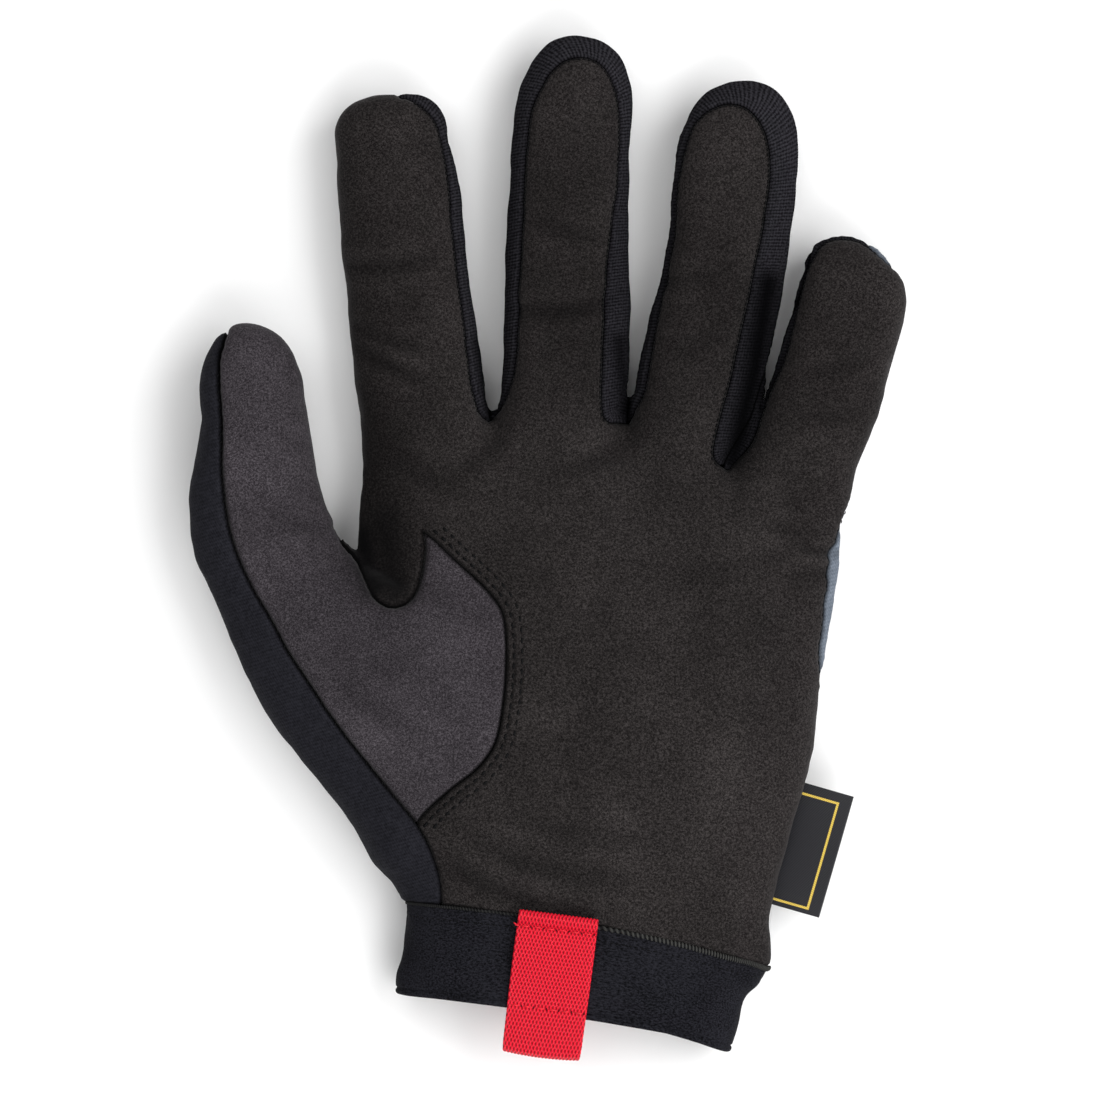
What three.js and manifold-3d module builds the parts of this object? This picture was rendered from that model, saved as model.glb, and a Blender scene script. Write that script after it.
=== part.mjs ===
// A left-hand mechanic's glove lying on its back, palm up, as the sewn panels that it is made of.
// Millimetres. +Y runs to the fingertips, +X to the little finger and +Z out of the palm.
// The origin is on the table under the middle of the palm.
import * as THREE from "three";
import { mergeVertices } from "three/addons/utils/BufferGeometryUtils.js";
import Module from "manifold-3d";

const wasm = await Module();
wasm.setup();

// Driving sizes of the palm
const PALM_WIDTH = 116;
const PALM_LENGTH = 115;
const PALM_THICKNESS = 28;
const PALM_HOLLOW = 1.6; // how far the middle of the palm dips between its two pads
const WALL = 1.4; // suede and knit
const SEAM_GAP = 0.3; // between one sewn panel and the next
const BACK_SEAM_HEIGHT = 4.5; // the back panel ends this high above the table
const FLAT_DEPTH = 1.2; // how much of the round back is pressed flat on the table

// Driving sizes of the digits: each from its root inside the palm, and its widest and thickest
const INDEX_LENGTH = 97.7;
const INDEX_WIDTH = 30;
const INDEX_THICKNESS = 19;
const MIDDLE_LENGTH = 111.4;
const MIDDLE_WIDTH = 30;
const MIDDLE_THICKNESS = 19;
const RING_LENGTH = 101.1;
const RING_WIDTH = 31;
const RING_THICKNESS = 18.5;
const LITTLE_LENGTH = 67.4;
const LITTLE_WIDTH = 27;
const LITTLE_THICKNESS = 17.5;
const THUMB_LENGTH = 133.1;
const THUMB_WIDTH = 30;
const THUMB_THICKNESS = 22;

// Driving sizes of the cuff, the pull tab and the side label
const CUFF_HEIGHT = 21;
const CUFF_WALL = 2.2;
const CUFF_PROUD = 0.4; // the band stands out of the panels by this much
const TAB_WIDTH = 19;
const TAB_THICKNESS = 1.2;
const TAB_LAP = 3.2; // over the palm above the cuff
const TAB_OVERHANG = 8.6; // past the hem
const TAB_RETURN = 9; // the folded end that is sewn inside the cuff
const TAB_TILT = 7.2; // degrees
const LABEL_LENGTH = 29.3;
const LABEL_WIDTH = 12.5;
const LABEL_THICKNESS = 1.2;
const LABEL_TILT = 0.9; // the outer edge droops by this much

// How finely the faceted surfaces are cut
const DIGIT_SIDES = 18;
const PALM_SIDES = 30;
const CAP_ANGLES = [24, 45, 64, 80]; // degrees round the end of a finger, to its tip at 90
const BIG = 400; // larger than the whole glove

// Sections of the palm from the cuff seam to the finger roots. x is a share of PALM_WIDTH, y of
// PALM_LENGTH and top of PALM_THICKNESS; the powers say how square each shoulder is.
const PALM_ROWS = [
  { leftX: -0.405, leftY: -0.424, rightX: 0.352, rightY: -0.559, top: 0.76, leftPower: 2.6, rightPower: 2.6 },
  { leftX: -0.436, leftY: -0.35, rightX: 0.353, rightY: -0.43, top: 0.84, leftPower: 2.6, rightPower: 2.5 },
  { leftX: -0.46, leftY: -0.23, rightX: 0.4, rightY: -0.26, top: 0.94, leftPower: 2.6, rightPower: 2.4 },
  { leftX: -0.48, leftY: -0.07, rightX: 0.445, rightY: -0.07, top: 1.0, leftPower: 2.4, rightPower: 2.4 },
  { leftX: -0.49, leftY: 0.1, rightX: 0.468, rightY: 0.09, top: 0.99, leftPower: 2.0, rightPower: 2.4 },
  { leftX: -0.502, leftY: 0.24, rightX: 0.487, rightY: 0.22, top: 0.94, leftPower: 1.7, rightPower: 2.4 },
  { leftX: -0.496, leftY: 0.37, rightX: 0.499, rightY: 0.34, top: 0.87, leftPower: 1.8, rightPower: 2.4 },
  { leftX: -0.488, leftY: 0.48, rightX: 0.517, rightY: 0.42, top: 0.75, leftPower: 2.2, rightPower: 2.4 },
  { leftX: -0.484, leftY: 0.6, rightX: 0.53, rightY: 0.468, top: 0.5, leftPower: 2.4, rightPower: 2.4 },
];

// Sections of the cuff, in the same shares across; down is a share of CUFF_HEIGHT from the seam.
const CUFF_ROWS = [
  { down: 0, leftX: -0.402, rightX: 0.35, top: 0.76 },
  { down: 0.2, leftX: -0.398, rightX: 0.331, top: 0.745 },
  { down: 0.4, leftX: -0.393, rightX: 0.314, top: 0.73 },
  { down: 0.7, leftX: -0.389, rightX: 0.307, top: 0.715 },
  { down: 1, leftX: -0.389, rightX: 0.301, top: 0.71 },
];

// The digits. rootX and rootY are shares of the palm; angle is in degrees, clockwise from +Y. In
// each section at and skew are shares of the length, left and right of the width, and base and
// top of the thickness. The last row is where the round end starts, and tip is the end's side.
const DIGITS = {
  index: {
    rootX: -0.347, rootY: 0.417, angle: -5.6,
    length: INDEX_LENGTH, width: INDEX_WIDTH, thickness: INDEX_THICKNESS,
    leftPower: 2.5, rightPower: 2.3, endPower: 3, tip: 0.0,
    rows: [
      { at: 0.0, left: -0.54, right: 0.52, skew: 0, base: 0, top: 0.8 },
      { at: 0.2, left: -0.503, right: 0.56, skew: 0, base: 0, top: 1.06 },
      { at: 0.28, left: -0.51, right: 0.502, skew: 0, base: 0, top: 1.04 },
      { at: 0.4, left: -0.518, right: 0.482, skew: 0, base: 0.02, top: 0.99 },
      { at: 0.6, left: -0.52, right: 0.463, skew: 0, base: 0.06, top: 1.04 },
      { at: 0.8, left: -0.503, right: 0.442, skew: 0, base: 0.12, top: 1.04 },
      { at: 0.88, left: -0.483, right: 0.405, skew: 0, base: 0.16, top: 1.0 },
    ],
  },
  middle: {
    rootX: -0.0767, rootY: 0.417, angle: 1.7,
    length: MIDDLE_LENGTH, width: MIDDLE_WIDTH, thickness: MIDDLE_THICKNESS,
    leftPower: 2.3, rightPower: 2.0, endPower: 2.4, tip: 0.045,
    rows: [
      { at: 0.0, left: -0.58, right: 0.56, skew: 0, base: 0, top: 1.05 },
      { at: 0.19, left: -0.6, right: 0.515, skew: 0, base: 0, top: 1.06 },
      { at: 0.26, left: -0.52, right: 0.5, skew: 0, base: 0, top: 1.05 },
      { at: 0.42, left: -0.515, right: 0.495, skew: 0, base: 0.02, top: 0.99 },
      { at: 0.6, left: -0.513, right: 0.46, skew: 0, base: 0.06, top: 1.04 },
      { at: 0.8, left: -0.48, right: 0.46, skew: 0, base: 0.13, top: 1.05 },
    ],
  },
  ring: {
    rootX: 0.186, rootY: 0.417, angle: 7.0,
    length: RING_LENGTH, width: RING_WIDTH, thickness: RING_THICKNESS,
    leftPower: 2.5, rightPower: 1.75, endPower: 2.3, tip: 0.01,
    rows: [
      { at: 0.0, left: -0.58, right: 0.46, skew: 0, base: 0, top: 1.04 },
      { at: 0.2, left: -0.54, right: 0.47, skew: 0, base: 0, top: 1.06 },
      { at: 0.4, left: -0.49, right: 0.51, skew: 0, base: 0.02, top: 1.05 },
      { at: 0.6, left: -0.432, right: 0.523, skew: 0, base: 0.06, top: 1.05 },
      { at: 0.79, left: -0.428, right: 0.516, skew: 0, base: 0.13, top: 1.05 },
    ],
  },
  little: {
    rootX: 0.4035, rootY: 0.3965, angle: 12.6,
    length: LITTLE_LENGTH, width: LITTLE_WIDTH, thickness: LITTLE_THICKNESS,
    leftPower: 2.4, rightPower: 2.3, endPower: 1.8, tip: -0.11,
    rows: [
      { at: 0.0, left: -0.6, right: 0.45, skew: 0, base: 0, top: 0.85 },
      { at: 0.2, left: -0.54, right: 0.47, skew: 0, base: 0, top: 1.06 },
      { at: 0.4, left: -0.489, right: 0.519, skew: 0, base: 0.03, top: 1.06 },
      { at: 0.6, left: -0.441, right: 0.556, skew: 0, base: 0.07, top: 1.06 },
      { at: 0.74, left: -0.424, right: 0.574, skew: 0, base: 0.11, top: 1.06 },
      { at: 0.84, left: -0.4, right: 0.535, skew: 0, base: 0.15, top: 1.02 },
    ],
  },
  thumb: {
    rootX: -0.3724, rootY: -0.313, angle: -17.85,
    length: THUMB_LENGTH, width: THUMB_WIDTH, thickness: THUMB_THICKNESS,
    leftPower: 2.2, rightPower: 2.0, endPower: 2.1, tip: 0.087,
    rows: [
      { at: -0.03, left: -0.295, right: 0.3, skew: 0.03, base: 0, top: 0.95 },
      { at: 0.11, left: -0.497, right: 0.717, skew: 0.017, base: 0, top: 1.14 },
      { at: 0.23, left: -0.68, right: 1.117, skew: 0.02, base: 0, top: 1.28 },
      { at: 0.34, left: -0.85, right: 1.3, skew: 0.0, base: 0, top: 1.34 },
      { at: 0.43, left: -0.91, right: 1.15, skew: -0.01, base: 0.02, top: 1.3 },
      { at: 0.495, left: -0.955, right: 0.65, skew: -0.035, base: 0.06, top: 1.18 },
      { at: 0.545, left: -0.975, right: 0.28, skew: -0.033, base: 0.1, top: 1.1 },
      { at: 0.62, left: -0.955, right: 0.157, skew: -0.045, base: 0.14, top: 1.08 },
      { at: 0.735, left: -0.81, right: 0.145, skew: -0.04, base: 0.2, top: 1.1 },
      { at: 0.86, left: -0.597, right: 0.263, skew: 0, base: 0.25, top: 1.12 },
    ],
  },
};

// Seam lines, each as points of its digit: at is a share of the length and side of the width.
const INDEX_SEAM = [
  { at: 0.2, side: 0.46 },
  { at: 0.32, side: 0.407 },
  { at: 0.8, side: 0.382 },
  { at: 0.905, side: 0.345 },
  { at: 0.955, side: 0.271 },
  { at: 1.1, side: 0.1 },
];
const MIDDLE_SEAM = [
  { at: 0.201, side: -0.526 },
  { at: 0.277, side: -0.438 },
  { at: 0.483, side: -0.405 },
  { at: 0.679, side: -0.397 },
  { at: 0.821, side: -0.354 },
  { at: 0.891, side: -0.26 },
  { at: 0.943, side: -0.079 },
  { at: 0.951, side: 0.068 },
  { at: 0.903, side: 0.306 },
  { at: 0.85, side: 0.371 },
  { at: 0.788, side: 0.386 },
  { at: 0.598, side: 0.335 },
  { at: 0.332, side: 0.288 },
  { at: 0.214, side: 0.289 },
  { at: 0.168, side: 0.36 },
];
const RING_SEAM = [
  { at: 0.201, side: -0.517 },
  { at: 0.261, side: -0.459 },
  { at: 0.414, side: -0.435 },
  { at: 0.569, side: -0.399 },
  { at: 0.76, side: -0.385 },
  { at: 0.865, side: -0.347 },
  { at: 0.918, side: -0.227 },
  { at: 0.936, side: -0.094 },
  { at: 0.932, side: 0.052 },
  { at: 0.902, side: 0.177 },
  { at: 0.854, side: 0.266 },
  { at: 0.787, side: 0.314 },
  { at: 0.673, side: 0.312 },
  { at: 0.435, side: 0.25 },
  { at: 0.286, side: 0.198 },
  { at: 0.18, side: 0.145 },
  { at: 0.11, side: 0.145 },
  { at: 0.088, side: 0.207 },
];
const LITTLE_SEAM = [
  { at: 0.16, side: -0.549 },
  { at: 0.218, side: -0.499 },
  { at: 0.367, side: -0.45 },
  { at: 0.558, side: -0.4 },
  { at: 0.771, side: -0.375 },
  { at: 0.868, side: -0.33 },
  { at: 0.925, side: -0.24 },
  { at: 0.95, side: -0.1 },
  { at: 0.945, side: 0.1 },
  { at: 0.9, side: 0.377 },
  { at: 0.87, side: 0.7 },
];
const THUMB_SEAM = [
  { at: 0.054, side: 0.043 },
  { at: 0.176, side: -0.177 },
  { at: 0.3, side: -0.367 },
  { at: 0.414, side: -0.51 },
  { at: 0.534, side: -0.62 },
  { at: 0.61, side: -0.662 },
  { at: 0.672, side: -0.647 },
  { at: 0.808, side: -0.51 },
  { at: 0.95, side: -0.327 },
  { at: 1.02, side: -0.2 },
  { at: 1.1, side: -0.1 },
];
// Where neighbouring gussets meet between two fingers, as points of the finger on their left.
const WEB_LINES = {
  index: [
    { at: 0.16, side: 0.52 },
    { at: 0.3, side: 0.53 },
    { at: 0.75, side: 0.72 },
    { at: 1.3, side: 0.9 },
  ],
  middle: [
    { at: 0.15, side: 0.5 },
    { at: 0.25, side: 0.515 },
    { at: 0.7, side: 0.78 },
    { at: 1.3, side: 1.1 },
  ],
  ring: [
    { at: 0.07, side: 0.27 },
    { at: 0.145, side: 0.4 },
    { at: 0.3, side: 0.497 },
    { at: 0.4, side: 0.54 },
    { at: 0.62, side: 0.68 },
    { at: 1.3, side: 0.9 },
  ],
};
// The thenar seam and the fold at the thumb's crotch, as shares of the palm's width and length.
const THENAR_SEAM = [
  { x: -0.377, y: -0.255 },
  { x: -0.305, y: -0.182 },
  { x: -0.248, y: -0.137 },
  { x: -0.215, y: -0.088 },
  { x: -0.199, y: -0.011 },
  { x: -0.192, y: 0.079 },
  { x: -0.195, y: 0.156 },
  { x: -0.21, y: 0.2 },
  { x: -0.244, y: 0.243 },
  { x: -0.298, y: 0.292 },
  { x: -0.342, y: 0.334 },
  { x: -0.368, y: 0.353 },
];
const CROTCH_FOLD = [
  { x: -0.366, y: 0.3 },
  { x: -0.375, y: 0.245 },
  { x: -0.4, y: 0.21 },
  { x: -0.433, y: 0.203 },
  { x: -0.461, y: 0.221 },
  { x: -0.48, y: 0.262 },
  { x: -0.5, y: 0.31 },
  { x: -0.522, y: 0.335 },
];
// The seam between palm and thumb back above the cuff, and the two seams on the back of the hand.
const WRIST_SEAM = [
  { x: -0.33, y: -0.44 },
  { x: -0.335, y: -0.36 },
  { x: -0.358, y: -0.292 },
];
const THUMB_BACK_SEAM = [
  { x: -0.53, y: 0.33 },
  { x: -0.44, y: 0.16 },
  { x: -0.36, y: -0.08 },
  { x: -0.33, y: -0.3 },
];
const SIDE_SEAM = [
  { x: 0.19, y: -0.62 },
  { x: 0.25, y: -0.3 },
  { x: 0.33, y: 0.05 },
  { x: 0.4, y: 0.4 },
];
// The palm panel's outer edge, where the side panel shows a little beside it.
const OUTER_EDGE = [
  { x: 0.56, y: 0.5 },
  { x: 0.53, y: 0.42 },
  { x: 0.497, y: 0.37 },
  { x: 0.478, y: 0.29 },
  { x: 0.457, y: 0.235 },
  { x: 0.462, y: 0.17 },
  { x: 0.452, y: 0.08 },
  { x: 0.46, y: 0.01 },
  { x: 0.5, y: -0.03 },
];

// Materials, from the photograph
const finish = (color, roughness) => new THREE.MeshStandardMaterial({ color, roughness, metalness: 0 });
const palmSuede = finish(0x2b2624, 0.92);
const thumbSuede = finish(0x423f41, 0.92);
const blackKnit = finish(0x17171b, 0.85);
const greyKnit = finish(0x7f8a99, 0.85);
const cuffElastic = finish(0x18191d, 0.8);
const redWebbing = finish(0xd81f36, 0.7);
const labelSatin = finish(0x26272b, 0.6);

const palmPoint = ({ x, y }) => new THREE.Vector2(x * PALM_WIDTH, y * PALM_LENGTH);

// A point of a digit, from its shares along the digit's length and across its width.
function digitPoint(digit, at, side) {
  const turn = THREE.MathUtils.degToRad(digit.angle);
  const along = at * digit.length;
  const across = side * digit.width;
  return new THREE.Vector2(
    digit.rootX * PALM_WIDTH + along * Math.sin(turn) + across * Math.cos(turn),
    digit.rootY * PALM_LENGTH + along * Math.cos(turn) - across * Math.sin(turn),
  );
}

const seamPoints = (digit, rows) => rows.map(({ at, side }) => digitPoint(digit, at, side));

// A closed solid from a three.js geometry whose faces point out.
function solidOf(geometry) {
  const bare = new THREE.BufferGeometry().setAttribute("position", geometry.getAttribute("position"));
  if (geometry.index) bare.setIndex(geometry.index);
  const merged = mergeVertices(bare, 1e-4);
  return new wasm.Manifold(
    new wasm.Mesh({
      numProp: 3,
      vertProperties: merged.attributes.position.array,
      triVerts: new Uint32Array(merged.index.array),
    }),
  );
}

// A panel's own body, without the slivers that a cut beside a wall leaves.
function mainBody(solid) {
  return solid.decompose().reduce((best, body) => (body.volume() > best.volume() ? body : best));
}

function meshOf(solid, name, material) {
  const made = mainBody(solid).getMesh();
  const geometry = new THREE.BufferGeometry();
  geometry.setAttribute("position", new THREE.BufferAttribute(made.vertProperties, 3));
  geometry.setIndex(new THREE.BufferAttribute(made.triVerts, 1));
  geometry.computeVertexNormals();
  const mesh = new THREE.Mesh(geometry, material);
  mesh.name = name;
  return mesh;
}

// Skins a row of equal rings, each running right, up, left and down, with a fan over either end.
function loft(rings, tip) {
  const sides = rings[0].length;
  const points = rings.flat();
  const middle = (ring) => ring.reduce((sum, p) => sum.add(p), new THREE.Vector3()).divideScalar(sides);
  points.push(middle(rings[0]), tip ?? middle(rings[rings.length - 1]));
  const startMiddle = points.length - 2;
  const endMiddle = points.length - 1;
  const lastRing = (rings.length - 1) * sides;
  const faces = [];
  for (let j = 0; j < sides; j++) {
    const next = (j + 1) % sides;
    for (let i = 0; i < rings.length - 1; i++) {
      const near = i * sides;
      const far = near + sides;
      faces.push(near + j, far + j, near + next, near + next, far + j, far + next);
    }
    faces.push(startMiddle, j, next, endMiddle, lastRing + next, lastRing + j);
  }
  const geometry = new THREE.BufferGeometry().setFromPoints(points).setIndex(faces);
  return solidOf(geometry);
}

// One ring of a section that runs from left to right in plan and from base to top in height.
// Each quarter is a superellipse: |across|^power + |up|^power = 1.
function sectionRing(section, sides, inset) {
  const { left, right, base, top, leftPower, rightPower, dip = 0 } = section;
  const centre = left.clone().add(right).multiplyScalar(0.5);
  const reach = right.clone().sub(left).multiplyScalar(0.5);
  const shrink = Math.max(reach.length() - inset, 0.05) / reach.length();
  const low = Math.min(base + inset, top - inset - 0.1);
  const high = top - inset;
  const waist = low + WAIST_SHARE * (high - low);
  return Array.from({ length: sides }, (_, j) => {
    const angle = (2 * Math.PI * j) / sides;
    const [c, s] = [Math.cos(angle), Math.sin(angle)];
    const shoulder = c < 0 ? leftPower : rightPower;
    const power = s < 0 ? BACK_POWER : shoulder;
    const across = Math.sign(c) * Math.abs(c) ** (2 / power) * shrink;
    const up = Math.sign(s) * Math.abs(s) ** (2 / power);
    const fade = Math.cos((Math.PI / 2) * Math.min(1, Math.abs(across) / DIP_SPREAD));
    const sink = s > 0 ? dip * fade ** 2 : 0;
    const height = waist + up * (s < 0 ? waist - low : high - waist) - sink;
    return new THREE.Vector3(centre.x + reach.x * across, centre.y + reach.y * across, height);
  });
}
const WAIST_SHARE = 0.44; // the height of a section's widest line, as a share of its thickness
const BACK_POWER = 2.9; // the back is squarer than the palm side
const DIP_SPREAD = 0.75; // the palm's hollow dies out at this share of the half width

// A digit: its table rows, then rings that close round its end as a superellipse.
function digitSolid(digit, inset) {
  const rings = digit.rows.map((row) => digitSection(digit, row));
  const last = rings[rings.length - 1];
  const lastRow = digit.rows[digit.rows.length - 1];
  const middle = last.left.clone().add(last.right).multiplyScalar(0.5);
  const tip = digitPoint(digit, 1, digit.tip + (lastRow.left + lastRow.right) / 2);
  const reach = last.right.clone().sub(last.left).multiplyScalar(0.5);
  const waist = last.base + WAIST_SHARE * (last.top - last.base);
  const sections = [...rings];
  const endLength = tip.distanceTo(middle);
  for (const degrees of CAP_ANGLES) {
    const far = Math.sin(THREE.MathUtils.degToRad(degrees));
    const size = (1 - far ** digit.endPower) ** (1 / digit.endPower);
    const centre = middle.clone().lerp(tip, (far * (endLength - inset)) / endLength);
    sections.push({
      ...last,
      left: centre.clone().addScaledVector(reach, -size),
      right: centre.clone().addScaledVector(reach, size),
      base: waist - (waist - last.base) * size,
      top: waist + (last.top - waist) * size,
    });
  }
  const end = middle.clone().lerp(tip, (endLength - inset) / endLength);
  const endPoint = new THREE.Vector3(end.x, end.y, waist);
  return loft(sections.map((section) => sectionRing(section, DIGIT_SIDES, inset)), endPoint);
}

function digitSection(digit, { at, left, right, skew, base, top }) {
  return {
    left: digitPoint(digit, at - skew, left),
    right: digitPoint(digit, at + skew, right),
    base: base * digit.thickness - (base > 0 ? 0 : FLAT_DEPTH),
    top: top * digit.thickness,
    leftPower: digit.leftPower,
    rightPower: digit.rightPower,
  };
}

function palmSection(row) {
  return {
    left: palmPoint({ x: row.leftX, y: row.leftY }),
    right: palmPoint({ x: row.rightX, y: row.rightY }),
    base: -FLAT_DEPTH,
    top: row.top * PALM_THICKNESS,
    leftPower: row.leftPower,
    rightPower: row.rightPower,
    dip: (PALM_HOLLOW * Math.max(0, row.top - PALM_ROWS[0].top)) / (1 - PALM_ROWS[0].top),
  };
}

// Straight down the wrist, square to the cuff seam.
const seamStart = palmPoint({ x: PALM_ROWS[0].leftX, y: PALM_ROWS[0].leftY });
const seamEnd = palmPoint({ x: PALM_ROWS[0].rightX, y: PALM_ROWS[0].rightY });
const seamAlong = seamEnd.clone().sub(seamStart).normalize();
const wristward = new THREE.Vector2(seamAlong.y, -seamAlong.x);
const onSeam = (x) => {
  const share = (x - PALM_ROWS[0].leftX) / (PALM_ROWS[0].rightX - PALM_ROWS[0].leftX);
  return seamStart.clone().lerp(seamEnd, share);
};

function cuffSection({ down, leftX, rightX, top }, start, proud) {
  const drop = start + down * (CUFF_HEIGHT - start);
  return {
    left: onSeam(leftX).addScaledVector(wristward, drop).addScaledVector(seamAlong, -proud),
    right: onSeam(rightX).addScaledVector(wristward, drop).addScaledVector(seamAlong, proud),
    base: -FLAT_DEPTH,
    top: top * PALM_THICKNESS + proud,
    leftPower: PALM_ROWS[0].leftPower,
    rightPower: PALM_ROWS[0].rightPower,
  };
}

// The space above the plan outline, and above or below the seam round the back of the hand.
function prism(outline) {
  const shape = new THREE.Shape(outline);
  const geometry = new THREE.ExtrudeGeometry(shape, { depth: BIG, bevelEnabled: false });
  return solidOf(geometry.translate(0, 0, -BIG / 2));
}

// The back seams climb with the fingertips: y is a share of PALM_LENGTH, rise of BACK_SEAM_RISE.
const BACK_SEAM_ROWS = [
  { y: -2, rise: 0 },
  { y: 0.75, rise: 0 },
  { y: 1.05, rise: 0.5 },
  { y: 1.4, rise: 1.1 },
  { y: 3, rise: 1.1 },
];
const THUMB_SEAM_ROWS = [
  { y: -2, rise: 0 },
  { y: 0.15, rise: 0 },
  { y: 0.45, rise: 1.2 },
  { y: 0.75, rise: 2.7 },
  { y: 3, rise: 2.7 },
];
const BACK_SEAM_RISE = 2.6;
function blockAbove(rows, clearance) {
  const line = rows.map(
    ({ y, rise }) => new THREE.Vector2(y * PALM_LENGTH, BACK_SEAM_HEIGHT + rise * BACK_SEAM_RISE + clearance),
  );
  const roof = [new THREE.Vector2(line[line.length - 1].x, BIG), new THREE.Vector2(line[0].x, BIG)];
  const geometry = new THREE.ExtrudeGeometry(new THREE.Shape([...line, ...roof]), {
    depth: 2 * BIG,
    bevelEnabled: false,
  });
  const turnUpright = new THREE.Matrix4().set(0, 0, 1, -BIG, 1, 0, 0, 0, 0, 1, 0, 0, 0, 0, 0, 1);
  return solidOf(geometry.applyMatrix4(turnUpright));
}

// A plan outline moved outwards by a small distance, corner by corner.
function grow(outline, distance) {
  const sign = THREE.ShapeUtils.isClockWise(outline) ? -1 : 1;
  const count = outline.length;
  return outline.map((point, i) => {
    const before = point.clone().sub(outline[(i + count - 1) % count]).normalize();
    const after = outline[(i + 1) % count].clone().sub(point).normalize();
    const tangent = before.add(after).normalize();
    return point.clone().add(new THREE.Vector2(tangent.y, -tangent.x).multiplyScalar(sign * distance));
  });
}

const box = (low, high) => {
  const size = high.clone().sub(low);
  const geometry = new THREE.BoxGeometry(size.x, size.y, size.z);
  return solidOf(geometry.translate(...low.clone().add(high).multiplyScalar(0.5).toArray()));
};
const aboveTable = (height) => box(new THREE.Vector3(-BIG, -BIG, height), new THREE.Vector3(BIG, BIG, BIG));

// The whole skin of suede and knit, hollow, open at the cuff seam and flat where it lies.
function handShell() {
  const form = (inset) => {
    const sections = PALM_ROWS.map(palmSection);
    const palmEnd = wristward.clone().multiplyScalar(inset > 0 ? 2 : 0);
    sections[0].left.add(palmEnd);
    sections[0].right.add(palmEnd);
    const palm = loft(sections.map((section) => sectionRing(section, PALM_SIDES, inset)));
    const whole = Object.values(DIGITS).reduce((sum, digit) => sum.add(digitSolid(digit, inset)), palm);
    return whole.intersect(aboveTable(inset));
  };
  return form(0).subtract(form(WALL));
}

// Plan outlines of the panels. Each runs past the glove's own outline where the panel wraps round.
const { index, middle, ring, little, thumb } = DIGITS;
const beyondSeam = 12; // mm past the cuff seam, so that a panel ends at the seam itself
const WEB_STEP = 0.02;

function palmOutline() {
  const wristLeft = onSeam(WRIST_SEAM[0].x).addScaledVector(wristward, beyondSeam);
  const wristRight = onSeam(0.6).addScaledVector(wristward, beyondSeam);
  return [
    wristLeft,
    ...WRIST_SEAM.map(palmPoint),
    ...THENAR_SEAM.map(palmPoint),
    ...CROTCH_FOLD.map(palmPoint),
    palmPoint({ x: -0.555, y: 0.4 }),
    digitPoint(index, 0.3, -0.8),
    digitPoint(index, 0.8, -1),
    digitPoint(index, 1.1, -0.8),
    ...seamPoints(index, INDEX_SEAM).reverse(),
    digitPoint(index, WEB_LINES.index[0].at + WEB_STEP, WEB_LINES.index[0].side),
    ...seamPoints(middle, MIDDLE_SEAM),
    digitPoint(middle, WEB_LINES.middle[0].at + WEB_STEP, WEB_LINES.middle[0].side),
    ...seamPoints(ring, RING_SEAM),
    digitPoint(ring, WEB_LINES.ring[0].at + WEB_STEP, WEB_LINES.ring[0].side),
    ...seamPoints(little, LITTLE_SEAM),
    digitPoint(little, 0.5, 1),
    ...OUTER_EDGE.map(palmPoint),
    wristRight,
  ];
}

function thumbOutline() {
  return [
    palmPoint({ x: -0.3, y: -0.23 }),
    ...seamPoints(thumb, THUMB_SEAM),
    digitPoint(thumb, 1.1, 0.9),
    digitPoint(thumb, 0.7, 0.55),
    palmPoint({ x: -0.525, y: 0.35 }),
    palmPoint({ x: -0.46, y: 0.27 }),
    palmPoint({ x: -0.4, y: 0.28 }),
    palmPoint({ x: -0.38, y: 0.36 }),
    palmPoint({ x: -0.34, y: 0.37 }),
    palmPoint({ x: -0.1, y: 0.1 }),
  ];
}

// The thumb's back: all that is left of its seam on the back of the hand.
function thumbBackOutline() {
  return [
    ...THUMB_BACK_SEAM.map(palmPoint),
    onSeam(WRIST_SEAM[0].x),
    onSeam(WRIST_SEAM[0].x).addScaledVector(wristward, beyondSeam),
    onSeam(-0.7).addScaledVector(wristward, beyondSeam),
    palmPoint({ x: -1.2, y: 0 }),
    digitPoint(thumb, 1.3, -1.5),
    digitPoint(thumb, 1.3, 0.9),
    digitPoint(thumb, 0.75, 0.35),
  ];
}

// The side panel: the little finger's outer back and a strip down the edge of the hand.
function sideOutline() {
  return [
    ...SIDE_SEAM.map(palmPoint),
    digitPoint(little, 0.5, 0.1),
    digitPoint(little, 0.85, 0.1),
    digitPoint(little, 1.2, 0.12),
    digitPoint(little, 1.2, 1.5),
    palmPoint({ x: 1, y: -0.7 }),
    palmPoint({ x: 0.18, y: -0.8 }),
  ];
}

// The space of one finger, between the web lines on either side of it.
function fingerOutline(leftLine, rightLine) {
  return [...leftLine, ...rightLine.slice().reverse()];
}

const shell = handShell();
const upper = blockAbove(BACK_SEAM_ROWS, SEAM_GAP / 2);
const upperGrown = blockAbove(BACK_SEAM_ROWS, -SEAM_GAP / 2);
const thumbUpper = blockAbove(THUMB_SEAM_ROWS, SEAM_GAP / 2);
const thumbUpperGrown = blockAbove(THUMB_SEAM_ROWS, -SEAM_GAP / 2);
const palmZone = palmOutline();
const thumbZone = thumbOutline();
const sideZone = sideOutline();
const thumbBackZone = thumbBackOutline();
const palmGrown = prism(grow(palmZone, SEAM_GAP));
const thumbGrown = prism(grow(thumbZone, SEAM_GAP));
const sideGrown = prism(grow(sideZone, SEAM_GAP));
const thumbBackGrown = prism(grow(thumbBackZone, SEAM_GAP));

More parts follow.
